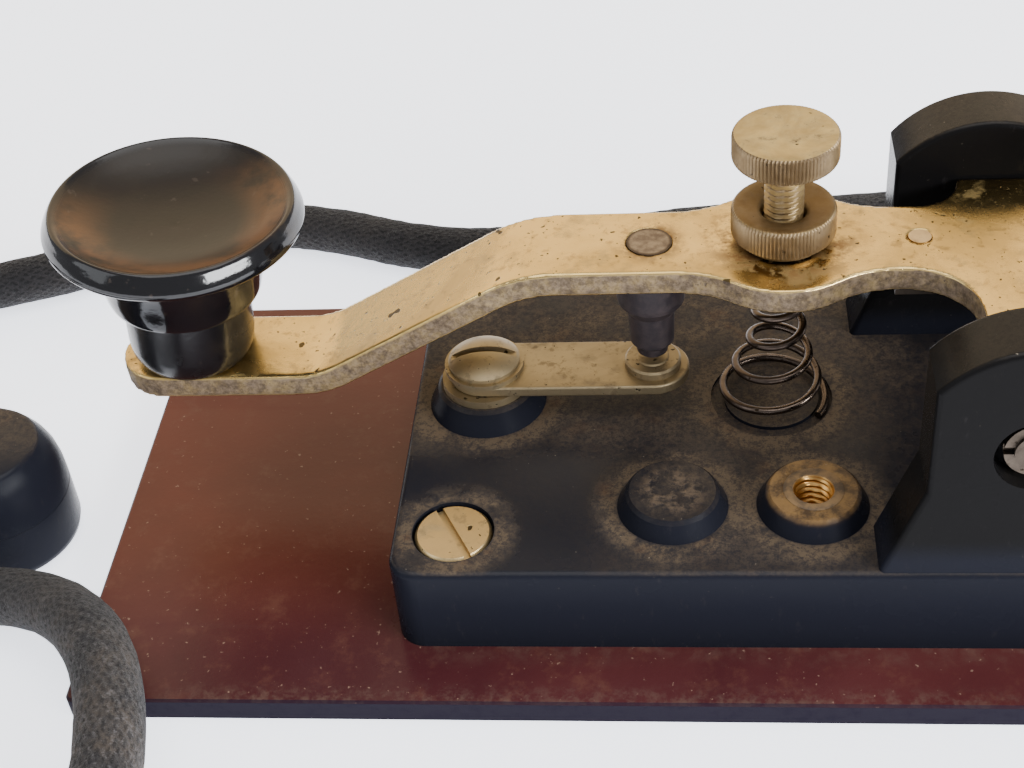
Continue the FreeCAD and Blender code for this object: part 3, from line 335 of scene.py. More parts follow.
# ---- materials ---------------------------------------------------------------------------
class Mat:
    """Builds one node material; the last call is surface()."""

    def __init__(self, name):
        self.material = bpy.data.materials.new(name)
        self.material.use_nodes = True
        self.tree = self.material.node_tree
        self.tree.nodes.clear()
        self.coords = self.node("ShaderNodeTexCoord")
        self.place = self.coords.outputs["Object"]
        self.normal = self.coords.outputs["Normal"]

    def node(self, kind, **settings):
        made = self.tree.nodes.new(kind)
        for key, value in settings.items():
            setattr(made, key, value)
        return made

    def put(self, socket, value):
        """Links a node's output to a socket, or sets a constant on it."""
        if isinstance(value, bpy.types.NodeSocket):
            self.tree.links.new(value, socket)
        elif isinstance(value, (tuple, list)) and len(value) == 3 and socket.type == "RGBA":
            socket.default_value = (*value, 1.0)
        else:
            socket.default_value = value

    def noise(self, scale, detail=4.0, rough=0.55, warp=0.0, stretch=None):
        made = self.node("ShaderNodeTexNoise")
        made.inputs["Scale"].default_value = scale
        made.inputs["Detail"].default_value = detail
        made.inputs["Roughness"].default_value = rough
        made.inputs["Distortion"].default_value = warp
        place = self.place
        if stretch:
            mapping = self.node("ShaderNodeMapping")
            mapping.inputs["Scale"].default_value = stretch
            self.put(mapping.inputs["Vector"], place)
            place = mapping.outputs["Vector"]
        self.put(made.inputs["Vector"], place)
        return made.outputs["Fac"]

    def math(self, kind, a, b=0.0, clamp=False):
        made = self.node("ShaderNodeMath", operation=kind, use_clamp=clamp)
        self.put(made.inputs[0], a)
        self.put(made.inputs[1], b)
        return made.outputs[0]

    def axes(self, source=None):
        made = self.node("ShaderNodeSeparateXYZ")
        self.put(made.inputs[0], source or self.place)
        return made.outputs

    def band(self, value, low, high, to=(0.0, 1.0)):
        """The value eased from one end of to, at low, to its other end, at high."""
        made = self.node("ShaderNodeMapRange", interpolation_type="SMOOTHSTEP")
        self.put(made.inputs["Value"], value)
        for key, number in zip(("From Min", "From Max", "To Min", "To Max"), (low, high, *to)):
            made.inputs[key].default_value = number
        return made.outputs["Result"]

    def mix(self, share, a, b):
        made = self.node("ShaderNodeMix", data_type="RGBA", clamp_factor=True)
        self.put(made.inputs[0], share)
        self.put(made.inputs[6], a)
        self.put(made.inputs[7], b)
        return made.outputs[2]

    def bump(self, height, distance, strength):
        made = self.node("ShaderNodeBump")
        made.inputs["Strength"].default_value = strength
        made.inputs["Distance"].default_value = distance
        self.put(made.inputs["Height"], height)
        return made.outputs["Normal"]

    def near(self, x, y, low, high):
        """1 close to a vertical axis at x, y in mm, falling to 0 between two radii."""
        ax = self.axes()
        dx = self.math("SUBTRACT", ax[0], x * MM)
        dy = self.math("SUBTRACT", ax[1], y * MM)
        square = self.math("ADD", self.math("MULTIPLY", dx, dx), self.math("MULTIPLY", dy, dy))
        return self.band(self.math("SQRT", square), low * MM, high * MM, (1.0, 0.0))

    def surface(self, colour, rough, metal=0.0, *, normal, **more):
        """Ends the material with a Principled shader; more sets its other sockets by name."""
        shader = self.node("ShaderNodeBsdfPrincipled")
        self.put(shader.inputs["Base Color"], colour)
        self.put(shader.inputs["Roughness"], rough)
        self.put(shader.inputs["Metallic"], metal)
        self.put(shader.inputs["Normal"], normal)
        for key, value in more.items():
            self.put(shader.inputs[key.replace("_", " ")], value)
        out = self.node("ShaderNodeOutputMaterial")
        self.tree.links.new(shader.outputs[0], out.inputs["Surface"])
        return self.material


DUST = (0.088, 0.064, 0.042)
BOSS_FACE = (17.2 * MM, 17.9 * MM)     # heights between which a boss's side gives way to its flat end
# Centre and radius of the bosses, the spring's groove and the front screw, which dust gathers round.
BOSS_PLACES = ((BLANK_BOSS_X, BOSS_Y, 6.7), (THREAD_BOSS_X, BOSS_Y, 6.7), (-43.4, LEVER_Y, 7.6),
               (-6.8, LEVER_Y, 7.6), (-45.7, -22.1, 4.9))


def moulding_material():
    """Black phenolic, blue-black and polished on its sides, with brown dust on what faces up."""
    m = Mat("black_phenolic")
    ax = m.axes()
    up = m.axes(m.normal)[2]
    settled = m.noise(110, 6, 0.62)
    grain = m.noise(1500, 5, 0.85)
    facing = m.band(up, 0.55, 0.95)
    low = m.band(ax[2], 19.2 * MM, 22.5 * MM, (1.0, 0.55))
    clean_left = m.band(ax[0], -36 * MM, -14 * MM, (1.0, 0.0))
    clean_front = m.band(ax[1], -13 * MM, -3 * MM, (1.0, 0.0))
    clean = m.math("MULTIPLY", clean_left, clean_front)
    ring = 0.0
    for x, y, r in BOSS_PLACES:
        disc, boss = m.near(x, y, r + 0.3, r + 4.2), m.near(x, y, r - 0.2, r + 0.5)
        ring = m.math("MAXIMUM", ring, m.math("SUBTRACT", disc, boss, clamp=True))
    drift = m.band(settled, 0.30, 0.66, (0.22, 0.80))
    back = m.band(ax[1], -14 * MM, 10 * MM, (0.42, 1.05))
    back = m.math("MULTIPLY", back, m.band(ax[0], -8 * MM, 12 * MM, (1.0, 0.55)))
    drift = m.math("MULTIPLY", drift, back)
    dust = m.math("MULTIPLY", m.math("MULTIPLY", facing, low), drift)
    dust = m.math("MULTIPLY", dust, m.band(clean, 0.0, 1.0, (1.0, 0.06)))
    gathered = m.math("MULTIPLY", m.math("MULTIPLY", ring, facing),
                      m.band(m.noise(240, 6, 0.7), 0.34, 0.62, (0.15, 1.0)))
    dust = m.math("ADD", dust, gathered, clamp=True)
    powder = m.math("MULTIPLY", dust, m.band(grain, 0.38, 0.62, (0.35, 1.45)))
    bare = m.mix(m.band(ax[2], 17 * MM, 21 * MM), (0.0095, 0.0102, 0.0150), (0.0064, 0.0061, 0.0063))
    colour = m.mix(powder, bare, DUST)
    warm = m.math("MULTIPLY", m.band(m.noise(150, 5, 0.65), 0.54, 0.72), dust)
    colour = m.mix(m.math("MULTIPLY", warm, 0.55), colour, (0.085, 0.042, 0.020))
    golden = m.math("MULTIPLY", m.near(THREAD_BOSS_X, BOSS_Y, 5.0, 5.9), m.band(ax[2], *BOSS_FACE))
    golden = m.math("MULTIPLY", golden, m.band(m.noise(420, 5, 0.7), 0.34, 0.62, (0.25, 1.0)))
    colour = m.mix(golden, colour, (0.200, 0.118, 0.048))
    worn_top = m.math("MULTIPLY", m.near(BLANK_BOSS_X, BOSS_Y, 2.0, 5.4), m.band(ax[2], *BOSS_FACE))
    worn_top = m.math("MULTIPLY", worn_top, m.band(m.noise(520, 5, 0.7), 0.42, 0.62))
    colour = m.mix(m.math("MULTIPLY", worn_top, 0.8), colour, (0.110, 0.078, 0.052))
    speck = m.band(m.noise(2100, 2, 0.5), 0.745, 0.78)
    speck = m.math("MULTIPLY", speck, m.band(facing, 0.0, 1.0, (0.10, 0.7)))
    colour = m.mix(speck, colour, (0.22, 0.19, 0.15))
    fleck = m.band(m.noise(900, 4, 0.7, stretch=(1.0, 1.0, 0.35)), 0.60, 0.72)
    side = m.math("SUBTRACT", 1.0, facing)
    colour = m.mix(m.math("MULTIPLY", m.math("MULTIPLY", fleck, side), 0.22), colour, (0.034, 0.030, 0.030))
    rough = m.band(dust, 0.02, 0.5, (0.20, 0.62))
    rough = m.math("ADD", rough, m.band(m.noise(40, 5, 0.6), 0.4, 0.7, (0.0, 0.12)))
    relief = m.math("ADD", m.math("MULTIPLY", grain, 0.5), m.math("MULTIPLY", m.noise(260, 3), 0.8))
    relief = m.math("ADD", relief, m.math("MULTIPLY", m.math("ADD", worn_top, golden), 1.6))
    normal = m.bump(relief, 0.00007, 0.6)
    return m.surface(colour, rough, normal=normal, Specular_IOR_Level=m.band(facing, 0.0, 1.0, (0.03, 0.16)))


def knob_material():
    """Gloss black phenolic, its dish brown-black: partly worn by handling, partly a painted warm reflection.
    """
    m = Mat("knob_phenolic")
    ax = m.axes()
    up = m.axes(m.normal)[2]
    inside = m.math("MULTIPLY", m.near(DISH_X, LEVER_Y, 13.0, 14.9), m.band(ax[2], 43.0 * MM, 44.2 * MM))
    inside = m.math("MULTIPLY", inside, m.band(up, 0.2, 0.6))
    cloud = m.noise(75, 5, 0.6, 0.6)
    edge = m.math("SUBTRACT", 1.0, m.near(DISH_X, LEVER_Y, 7.0, 13.0))
    edge = m.math("MULTIPLY", edge, m.band(m.math("ADD", ax[1], m.math("MULTIPLY", ax[0], -0.45)),
                                           34 * MM, 48 * MM, (1.0, 0.0)))
    # The dish's brown-black colour here is partly worn finish and partly a painted reflection of a warm
    # backdrop.
    worn_film_and_painted_sheen = m.mix(cloud, (0.0080, 0.0062, 0.0048), (0.0170, 0.0115, 0.0070))
    edge = m.math("MULTIPLY", edge, m.band(m.noise(140, 5, 0.65), 0.3, 0.6))
    worn_film_and_painted_sheen = m.mix(edge, worn_film_and_painted_sheen, (0.125, 0.052, 0.018))
    colour = m.mix(inside, (0.0038, 0.0036, 0.0042), worn_film_and_painted_sheen)
    handled = m.math("MULTIPLY", m.band(m.noise(120, 5, 0.6), 0.5, 0.7), m.band(ax[0], -78 * MM, -70 * MM))
    handled = m.math("MULTIPLY", handled, m.math("SUBTRACT", 1.0, inside))
    colour = m.mix(handled, colour, (0.026, 0.019, 0.012))
    scratch = m.noise(240, 3, 0.7, stretch=(1.0, 0.12, 1.0))
    rough = m.math("ADD", m.band(inside, 0.1, 0.9, (0.10, 0.30)), m.band(scratch, 0.55, 0.75, (0.0, 0.10)))
    rough = m.math("ADD", rough, m.band(ax[2], 35.5 * MM, 34.5 * MM, (0.0, 0.14)))
    nick = m.band(m.noise(800, 2, 0.5), 0.68, 0.75)
    colour = m.mix(m.math("MULTIPLY", nick, 0.15), colour, (0.12, 0.09, 0.07))
    normal = m.bump(m.math("ADD", scratch, m.noise(1500, 2)), 0.000025, 0.5)
    return m.surface(colour, rough, normal=normal, Specular_IOR_Level=m.band(inside, 0.1, 0.9, (0.50, 0.30)))


def plate_material():
    """Dark red-brown laminated sheet, satin, with fine scratches, specks and a dusty edge; its browner back
    is a painted reflection.
    """
    m = Mat("red_brown_sheet")
    ax = m.axes()
    cloud = m.noise(24, 5, 0.6, 0.4)
    fine = m.noise(240, 6, 0.7)
    speck = m.noise(1300, 2, 0.6)
    # Lighter and browner towards the back: a painted reflection of a warm backdrop on the red sheet.
    far = m.band(ax[1], -32 * MM, -8 * MM)
    red = m.mix(m.band(cloud, 0.3, 0.7), (0.046, 0.0102, 0.0125), (0.071, 0.0158, 0.0160))
    brown = m.mix(m.band(cloud, 0.35, 0.7), (0.078, 0.0165, 0.0105), (0.108, 0.0250, 0.0150))
    colour = m.mix(far, red, brown)
    colour = m.mix(m.band(fine, 0.50, 0.72, (0.0, 0.40)), colour, (0.116, 0.047, 0.031))
    up = m.band(m.axes(m.normal)[2], 0.6, 0.95)
    front_edge = m.band(ax[1], -38.1 * MM, -34.5 * MM, (1.0, 0.0))
    dusty = m.math("MULTIPLY", front_edge, m.band(m.noise(620, 6, 0.75), 0.42, 0.66))
    foot = m.math("MULTIPLY", m.band(ax[1], -33.5 * MM, -29.6 * MM), m.band(ax[0], -54 * MM, -48 * MM))
    foot = m.math("MULTIPLY", foot, m.band(m.noise(300, 6, 0.7), 0.42, 0.68, (0.1, 0.7)))
    dusty = m.math("MAXIMUM", dusty, foot)
    colour = m.mix(m.math("MULTIPLY", dusty, 0.48), colour, (0.105, 0.064, 0.045))
    colour = m.mix(m.math("MULTIPLY", m.band(speck, 0.68, 0.76), 0.7), colour, (0.24, 0.15, 0.11))
    colour = m.mix(m.math("SUBTRACT", 1.0, up), colour, (0.0108, 0.0086, 0.0156))
    scratch = m.noise(160, 3, 0.7, stretch=(0.06, 1.0, 1.0))
    rough = m.math("ADD", m.band(cloud, 0.3, 0.7, (0.27, 0.40)), m.math("MULTIPLY", dusty, 0.3))
    rough = m.math("ADD", rough, m.band(scratch, 0.58, 0.72, (0.0, 0.12)))
    normal = m.bump(m.math("ADD", scratch, m.math("ADD", speck, fine)), 0.00003, 0.5)
    return m.surface(colour, rough, normal=normal, Specular_IOR_Level=m.band(up, 0.0, 1.0, (0.03, 0.29)))


def plated_material(name, bright, dull, dirt, rough=(0.22, 0.42), side_dirt=0.0, grain=1.0, stained=()):
    """Worn plating over brass: clouded, specked with tarnish, dirtier on what faces sideways."""
    m = Mat(name)
    cloud = m.noise(70, 5, 0.6, 0.5)
    fine = m.noise(620, 5, 0.7)
    spots = m.noise(240, 4, 0.62)
    colour = m.mix(m.band(cloud, 0.36, 0.68), bright, dull)
    stain = m.band(spots, 0.54, 0.72)
    colour = m.mix(m.math("MULTIPLY", stain, 0.40), colour, dirt)
    worn = m.band(fine, 0.53, 0.68)
    colour = m.mix(m.math("MULTIPLY", worn, 0.42), colour, dirt)
    gloss = m.band(cloud, 0.3, 0.75, rough)
    gloss = m.math("ADD", gloss, m.math("MULTIPLY", m.math("ADD", stain, worn), 0.09))
    metal = m.band(stain, 0.0, 1.0, (1.0, 0.80))
    for x, y, inner, outer in stained:
        halo = m.math("MULTIPLY", m.near(x, y, inner, outer),
                      m.band(m.noise(260, 6, 0.72), 0.42, 0.60, (0.05, 1.0)))
        colour = m.mix(m.math("MULTIPLY", halo, 0.95), colour, (0.210, 0.100, 0.030))
        colour = m.mix(m.near(x, y, inner - 1.6, inner + 0.5), colour, (0.045, 0.024, 0.012))
        gloss = m.math("ADD", gloss, m.math("MULTIPLY", halo, 0.22))
        metal = m.math("MULTIPLY", metal, m.band(halo, 0.1, 0.9, (1.0, 0.45)))
    pit = m.band(m.noise(560, 1.0, 0.4), 0.750, 0.775)
    pit = m.math("MAXIMUM", pit, m.band(m.noise(1350, 2.0, 0.55), 0.690, 0.725))
    colour = m.mix(m.math("MULTIPLY", pit, 0.9), colour, (0.020, 0.014, 0.008))
    if side_dirt:
        up = m.axes(m.normal)[2]
        side = m.band(m.math("ABSOLUTE", up), 0.25, 0.62, (1.0, 0.0))
        crust = m.noise(520, 6, 0.75)
        caked = m.math("MULTIPLY", side, m.band(crust, 0.30, 0.58, (0.78, 1.0)))
        caked_colour = m.mix(m.band(m.noise(1300, 6, 0.78), 0.38, 0.64),
                             (0.052, 0.036, 0.025), (0.150, 0.110, 0.078))
        colour = m.mix(m.math("MULTIPLY", caked, side_dirt), colour, caked_colour)
        gloss = m.math("ADD", gloss, m.math("MULTIPLY", caked, 0.34))
        metal = m.math("MULTIPLY", metal, m.band(caked, 0.1, 0.9, (1.0, 0.20)))
    pits = m.math("ADD", m.math("MULTIPLY", fine, 0.8), m.math("MULTIPLY", spots, 0.6))
    normal = m.bump(m.math("SUBTRACT", pits, m.math("MULTIPLY", pit, 1.5)), 0.00005 * grain, 0.55)
    return m.surface(colour, gloss, metal, normal=normal, Specular_IOR_Level=0.2)


def insert_material():
    """Bright threaded brass inside, brown and dull where it ends level with its boss."""
    m = Mat("threaded_brass")
    cloud = m.noise(300, 4, 0.6)
    thread = m.mix(m.band(cloud, 0.35, 0.65), (0.70, 0.42, 0.14), (0.46, 0.26, 0.085))
    end = m.mix(m.band(m.noise(420, 5, 0.7), 0.36, 0.64), (0.070, 0.046, 0.026), (0.215, 0.130, 0.055))
    inner = m.near(THREAD_BOSS_X, BOSS_Y, INSERT_THREAD_R, 2.5)
    colour = m.mix(inner, end, thread)
    return m.surface(colour, m.band(inner, 0.0, 1.0, (0.62, 0.32)), m.band(inner, 0.0, 1.0, (0.2, 1.0)),
                     normal=m.bump(cloud, 0.00006, 0.5))


def contact_material():
    """Plum-black contact rivet, its flush tail worn brown-grey on top of the lever."""
    m = Mat("contact_rivet")
    is_tail = (38.5 * MM, 39.5 * MM)
    height = m.axes()[2]
    fine = m.noise(700, 5, 0.7)
    stem = m.mix(m.band(fine, 0.35, 0.65), (0.020, 0.0155, 0.0180), (0.042, 0.031, 0.032))
    tail = m.mix(m.band(fine, 0.35, 0.68), (0.30, 0.225, 0.145), (0.165, 0.115, 0.075))
    edge = m.math("SUBTRACT", 1.0, m.near(CONTACT_X, LEVER_Y, 2.25, 2.6))
    tail = m.mix(m.math("MULTIPLY", edge, 0.8), tail, (0.050, 0.032, 0.020))
    colour = m.mix(m.band(height, *is_tail), stem, tail)
    return m.surface(colour, m.band(fine, 0.3, 0.7, (0.50, 0.66)), m.band(height, *is_tail, (0.25, 0.8)),
                     normal=m.bump(fine, 0.00006, 0.6), Specular_IOR_Level=0.3)


def knurl_material():
    """Yellow-brown aged brass: dusty flat tops, and sides painted darker, partly grime in the grooves
    between worn ridges and partly painted shade.
    """
    m = Mat("aged_knurled_brass")
    cloud = m.noise(120, 5, 0.65, 0.4)
    spots = m.noise(520, 5, 0.7)
    up = m.band(m.math("ABSOLUTE", m.axes(m.normal)[2]), 0.55, 0.9)
    height = m.axes()[2]
    # Tops lighter and sides darker: the darker sides are partly grime in the knurl grooves, partly painted
    # shade.
    top = m.mix(m.band(cloud, 0.34, 0.68), (0.60, 0.45, 0.19), (0.40, 0.285, 0.12))
    side = m.mix(m.band(cloud, 0.34, 0.68), (0.270, 0.192, 0.102), (0.155, 0.105, 0.055))
    rusty = m.math("MULTIPLY", up, m.band(height, 50 * MM, 46 * MM, (0.0, 0.90)))
    colour = m.mix(up, side, top)
    colour = m.mix(rusty, colour, (0.128, 0.078, 0.036))
    colour = m.mix(m.math("MULTIPLY", m.band(spots, 0.58, 0.70), 0.6), colour, (0.11, 0.070, 0.035))
    colour = m.mix(m.band(m.noise(900, 2, 0.5), 0.70, 0.76), colour, (0.030, 0.020, 0.012))
    rough = m.math("ADD", m.band(cloud, 0.3, 0.7, (0.38, 0.55)), m.math("MULTIPLY", up, 0.05))
    metal = m.band(spots, 0.40, 0.70, (0.95, 0.6))
    normal = m.bump(m.math("ADD", spots, cloud), 0.00006, 0.6)
    return m.surface(colour, rough, metal, normal=normal)


def braid_material():
    """Black cotton braid, matted with age: crossing strands, lint, and brown fading where it has rubbed."""
    m = Mat("cotton_braid")
    uv = m.node("ShaderNodeUVMap", uv_map="braid").outputs["UV"]
    ax = m.axes(uv)
    strands, rise = 21.0, 0.55
    phase = strands * 2 * math.pi / (math.pi * CORD_D * MM)
    wander = m.math("MULTIPLY", m.math("SUBTRACT", m.noise(520, 5, 0.72), 0.5), 15.0)
    stray = m.math("MULTIPLY", m.math("SUBTRACT", m.noise(430, 5, 0.72), 0.5), 15.0)
    around = m.math("MULTIPLY", ax[1], phase)
    along = m.math("MULTIPLY", ax[0], phase * rise)
    one = m.math("SINE", m.math("ADD", m.math("ADD", along, around), wander))
    two = m.math("SINE", m.math("ADD", m.math("SUBTRACT", along, around), stray))
    over = m.math("MAXIMUM", one, m.math("MULTIPLY", two, 0.75))
    fibre = m.noise(2600, 4, 0.75)
    lint = m.band(m.noise(1250, 6, 0.85), 0.49, 0.66)
    ax_place = m.axes()
    front = m.band(ax_place[1], -48 * MM, -18 * MM, (1.0, 0.0))
    front = m.math("MULTIPLY", front, m.band(ax_place[0], -135 * MM, -112 * MM))
    faded = m.math("MULTIPLY", m.band(m.noise(110, 6, 0.7), 0.40, 0.62),
                   m.band(front, 0.0, 1.0, (0.22, 1.0)))
    faded = m.math("MULTIPLY", faded, m.band(m.noise(480, 6, 0.8), 0.36, 0.60, (0.30, 1.0)))
    colour = m.mix(m.band(over, -0.4, 1.0), (0.0110, 0.0105, 0.0118), (0.0225, 0.0210, 0.0222))
    colour = m.mix(m.math("MULTIPLY", faded, 0.62), colour, (0.086, 0.066, 0.050))
    lint = m.math("MULTIPLY", lint, m.band(front, 0.0, 1.0, (0.12, 0.52)))
    colour = m.mix(lint, colour, (0.165, 0.155, 0.158))
    colour = m.mix(m.band(m.noise(260, 4, 0.7), 0.60, 0.74, (0.0, 0.6)), colour, (0.0055, 0.005, 0.0055))
    # Painted shade: darker still in the low places between crossing strands.
    colour = m.mix(m.band(over, -0.3, 0.7, (0.50, 0.0)), colour, (0.0070, 0.0066, 0.0072))
    height = m.math("ADD", m.math("MULTIPLY", over, 0.42), m.math("MULTIPLY", fibre, 1.1))
    height = m.math("ADD", height, m.math("MULTIPLY", m.noise(640, 5, 0.75), 2.1))
    normal = m.bump(height, 0.00024, 0.9)
    return m.surface(colour, 0.88, normal=normal, Specular_IOR_Level=0.25, Sheen_Weight=0.10,
                     Sheen_Roughness=0.5)


def rubber_material(name, tone):
    """Dull rubber, cloudy with age."""
    m = Mat(name)
    cloud = m.noise(120, 4, 0.6)
    colour = m.mix(m.band(cloud, 0.4, 0.75), tone, tuple(3.2 * c for c in tone))
    rough = m.band(cloud, 0.3, 0.7, (0.45, 0.65))
    normal = m.bump(m.noise(1600, 3), 0.00003, 0.6)
    return m.surface(colour, rough, normal=normal)


def tape_material():
    """Grey-brown cotton tape with a fine diagonal weave."""
    m = Mat("cotton_tape")
    weave = m.node("ShaderNodeTexWave", wave_type="BANDS", bands_direction="DIAGONAL")
    weave.inputs["Scale"].default_value = 900
    m.put(weave.inputs["Vector"], m.place)
    fibre = m.noise(1800, 3, 0.7)
    colour = m.mix(weave.outputs["Fac"], (0.045, 0.040, 0.035), (0.110, 0.098, 0.085))
    normal = m.bump(m.math("ADD", weave.outputs["Fac"], fibre), 0.00010, 0.8)
    return m.surface(colour, 0.85, normal=normal, Sheen_Weight=0.2)


def table_material():
    """White satin table that glows a little, as an overexposed one does."""
    m = Mat("white_table")
    cloud = m.noise(7, 4, 0.5)
    colour = m.mix(cloud, (0.84, 0.85, 0.89), (0.90, 0.905, 0.93))
    normal = m.bump(m.noise(700, 3), 0.00002, 0.3)
    return m.surface(colour, m.band(cloud, 0.3, 0.7, (0.50, 0.60)), normal=normal, Specular_IOR_Level=0.2,
                     Emission_Color=(0.86, 0.90, 1.0, 1.0), Emission_Strength=1.9)


MATERIALS = {
    "moulding": moulding_material(),
    "knob": knob_material(),
    "plate": plate_material(),
    "lever": plated_material("worn_lever_plating", (0.80, 0.570, 0.225), (0.58, 0.400, 0.145),
                             (0.24, 0.15, 0.06), (0.17, 0.33), side_dirt=0.97,
                             stained=((TENSION_X, LEVER_Y, 6.0, 11.5), (CONTACT_X, LEVER_Y, 2.3, 5.4),
                                      (GAP_X, LEVER_Y, 6.0, 10.0))),
    "knurled": knurl_material(),
    "brass": plated_material("dull_brown_brass", (0.345, 0.275, 0.165), (0.245, 0.190, 0.112),
                             (0.075, 0.050, 0.032), (0.44, 0.60), grain=1.2),
    "insert": insert_material(),
    "screw": plated_material("yellowed_screws", (0.62, 0.46, 0.23), (0.44, 0.32, 0.15),
                             (0.17, 0.11, 0.06), (0.36, 0.52), grain=1.3),
    "rivet": plated_material("bright_rivet", (0.80, 0.66, 0.42), (0.52, 0.38, 0.22), (0.20, 0.12, 0.06),
                             (0.20, 0.36)),
    "steel": plated_material("dark_steel", (0.115, 0.092, 0.072), (0.070, 0.056, 0.044),
                             (0.035, 0.026, 0.020), (0.38, 0.52), grain=1.3),
    "contact": contact_material(),
    "spring": plated_material("spring_wire", (0.130, 0.100, 0.080), (0.075, 0.056, 0.045),
                              (0.038, 0.026, 0.020), (0.22, 0.36)),
    "braid": braid_material(),
    "relief": rubber_material("relief_rubber", (0.010, 0.010, 0.011)),
    "core": rubber_material("core_rubber", (0.020, 0.018, 0.016)),
    "tape": tape_material(),
    "table": table_material(),
}


def paint(obj, key):
    """Gives an object one of the materials and no other."""
    obj.data.materials.clear()
    obj.data.materials.append(MATERIALS[key])


NODE_MATERIALS = {
    "plate": ["mounting_plate"],
    "moulding": ["key_base", "plug_body", "plug_cover"],
    "knurled": ["terminal_nut_near", "terminal_nut_far", "spring_seat", "terminal_washers"],
    "brass": ["contact_strip", "strip_spacer", "strip_washer", "rear_anvil", "front_link", "lever_link",
              "ring_lugs", "plug_pins", "lower_contact", "strip_screw"],
    "rivet": ["lever_rivets"],
    "screw": ["base_screws", "knob_screw", "cord_clamp", "clamp_screws", "plug_screw"],
    "steel": ["pivot_screws", "pivot_lock_nuts", "pivot_block", "link_nuts"],
    "contact": ["upper_contact"],
    "spring": ["tension_spring"],
    "core": ["core_near", "core_far", "plug_cores"],
}
for key, names in NODE_MATERIALS.items():
    for name in names:
        paint(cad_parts[name], key)
paint(CORD, "braid")


# ---- threaded and turned pieces ----------------------------------------------------------
KNURL_TEETH, KNURL_SEGMENTS = 84, 336


def adjusting_screw(name, node, body, x, tip_z, tip_r):
    """Knurled head with a worn dished top on a real thread that ends in a turned tip."""
    top, low = 55.4, 51.95
    place = Matrix.Translation(Vector((x, LEVER_Y, 0)) * MM)
    head = [(0, low - 0.8, 0), (2.6, low - 0.8, 0), (3.5, low - 0.7, 0), (4.0, low - 0.1, 0), (5.3, low, 0),
            (5.95, low + 0.10, 0.05), (6.15, low + 0.35, 0.24), (6.2, low + 0.6, 0.27),
            (6.2, top - 0.5, 0.27), (6.15, top - 0.25, 0.20), (5.95, top - 0.05, 0.04), (5.65, top, 0),
            (5.0, top - 0.02, 0), (4.4, top - 0.07, 0), (3.4, top - 0.10, 0), (2.0, top - 0.12, 0),
            (0, top - 0.13, 0)]
    thread = thread_rings(tip_z + 1.6, low - 0.5, 2.4, 0.8, 0.42, place)
    tip = lathe([(0, tip_z, 0), (tip_r - 0.2, tip_z, 0), (tip_r, tip_z + 0.25, 0), (2.0, tip_z + 1.6, 0),
                 (1.9, tip_z + 1.9, 0), (0, tip_z + 1.9, 0)], 48, place)
    verts, faces = merge(lathe(head, KNURL_SEGMENTS, place, teeth=KNURL_TEETH), skin(thread), tip)
    screw = new_piece(name, verts, faces, body)
    soften(screw, 40)
    paint(screw, "knurled")
    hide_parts(node)


def threaded_stud(name, node, y):
    """A terminal's stud, threaded over its whole length."""
    place = Matrix.Translation(Vector((TERMINAL_X, y, 0)) * MM)
    verts, faces = skin(thread_rings(4.2, 31.7, 2.0, 0.7, 0.36, place))
    stud = new_piece(name, verts, faces, "root")
    soften(stud, 40)
    paint(stud, "screw")
    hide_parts(node)


def knurled_nut(name, node, body, x):
    """Round lock nut: knurled band over a narrower foot, its top sunk a little towards the thread."""
    low, top = LEVER_TOP + 0.05, 45.5
    place = Matrix.Translation(Vector((x, LEVER_Y, 0)) * MM)
    profile = [(2.5, low, 0), (4.6, low, 0), (4.9, low + 0.2, 0), (5.0, low + 0.85, 0), (5.5, low + 1.1, 0),
               (6.05, low + 1.3, 0.10), (6.2, low + 1.6, 0.27), (6.2, top - 0.7, 0.27),
               (6.12, top - 0.35, 0.16), (5.9, top - 0.1, 0.03), (5.6, top, 0), (5.0, top - 0.06, 0),
               (4.0, top - 0.34, 0), (3.2, top - 0.52, 0), (2.85, top - 0.7, 0), (2.55, top - 1.3, 0),
               (2.5, top - 2.0, 0), (2.5, low, 0)]
    verts, faces = lathe(profile, KNURL_SEGMENTS, place, teeth=KNURL_TEETH)
    nut = new_piece(name, verts, faces, body)
    soften(nut, 40)
    paint(nut, "knurled")
    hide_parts(node)


def open_insert():
    """The brass bush left open in its boss, with its thread showing."""
    box_low, box_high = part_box("terminal_insert")
    bottom, top = box_low[2] / MM, box_high[2] / MM
    x, y = (box_low[0] + box_high[0]) / 2, (box_low[1] + box_high[1]) / 2
    place = Matrix.Translation(Vector((x, y, 0)))
    outer = lathe([(0, bottom, 0), (3.6, bottom, 0), (3.6, top - 0.04, 0), (3.55, top, 0), (2.5, top, 0),
                   (INSERT_THREAD_R, top - 0.22, 0)], 64, place)
    floor, lip, steps, segments, pitch = bottom + 1.1, top - 0.22, 72, 64, 0.9
    inner = []
    for k in range(steps + 1):
        z = floor + (lip - floor) * k / steps
        ring = []
        for i in range(segments):
            a = 2 * math.pi * i / segments
            phase = (z / pitch - i / segments) % 1.0
            crest = max(0.0, 1 - 1.25 * abs(2 * phase - 1)) * min(1.0, (lip - z) / 0.5)
            r = INSERT_THREAD_R - 0.36 * crest
            ring.append(place @ Vector((r * math.cos(a) * MM, r * math.sin(a) * MM, z * MM)))
        inner.append(ring)
    verts, faces = merge(outer, skin(inner, closed_high=False, flip=True))
    insert = new_piece("threaded_insert", verts, faces, "root")
    soften(insert, 45)
    paint(insert, "insert")
    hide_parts("terminal_insert")


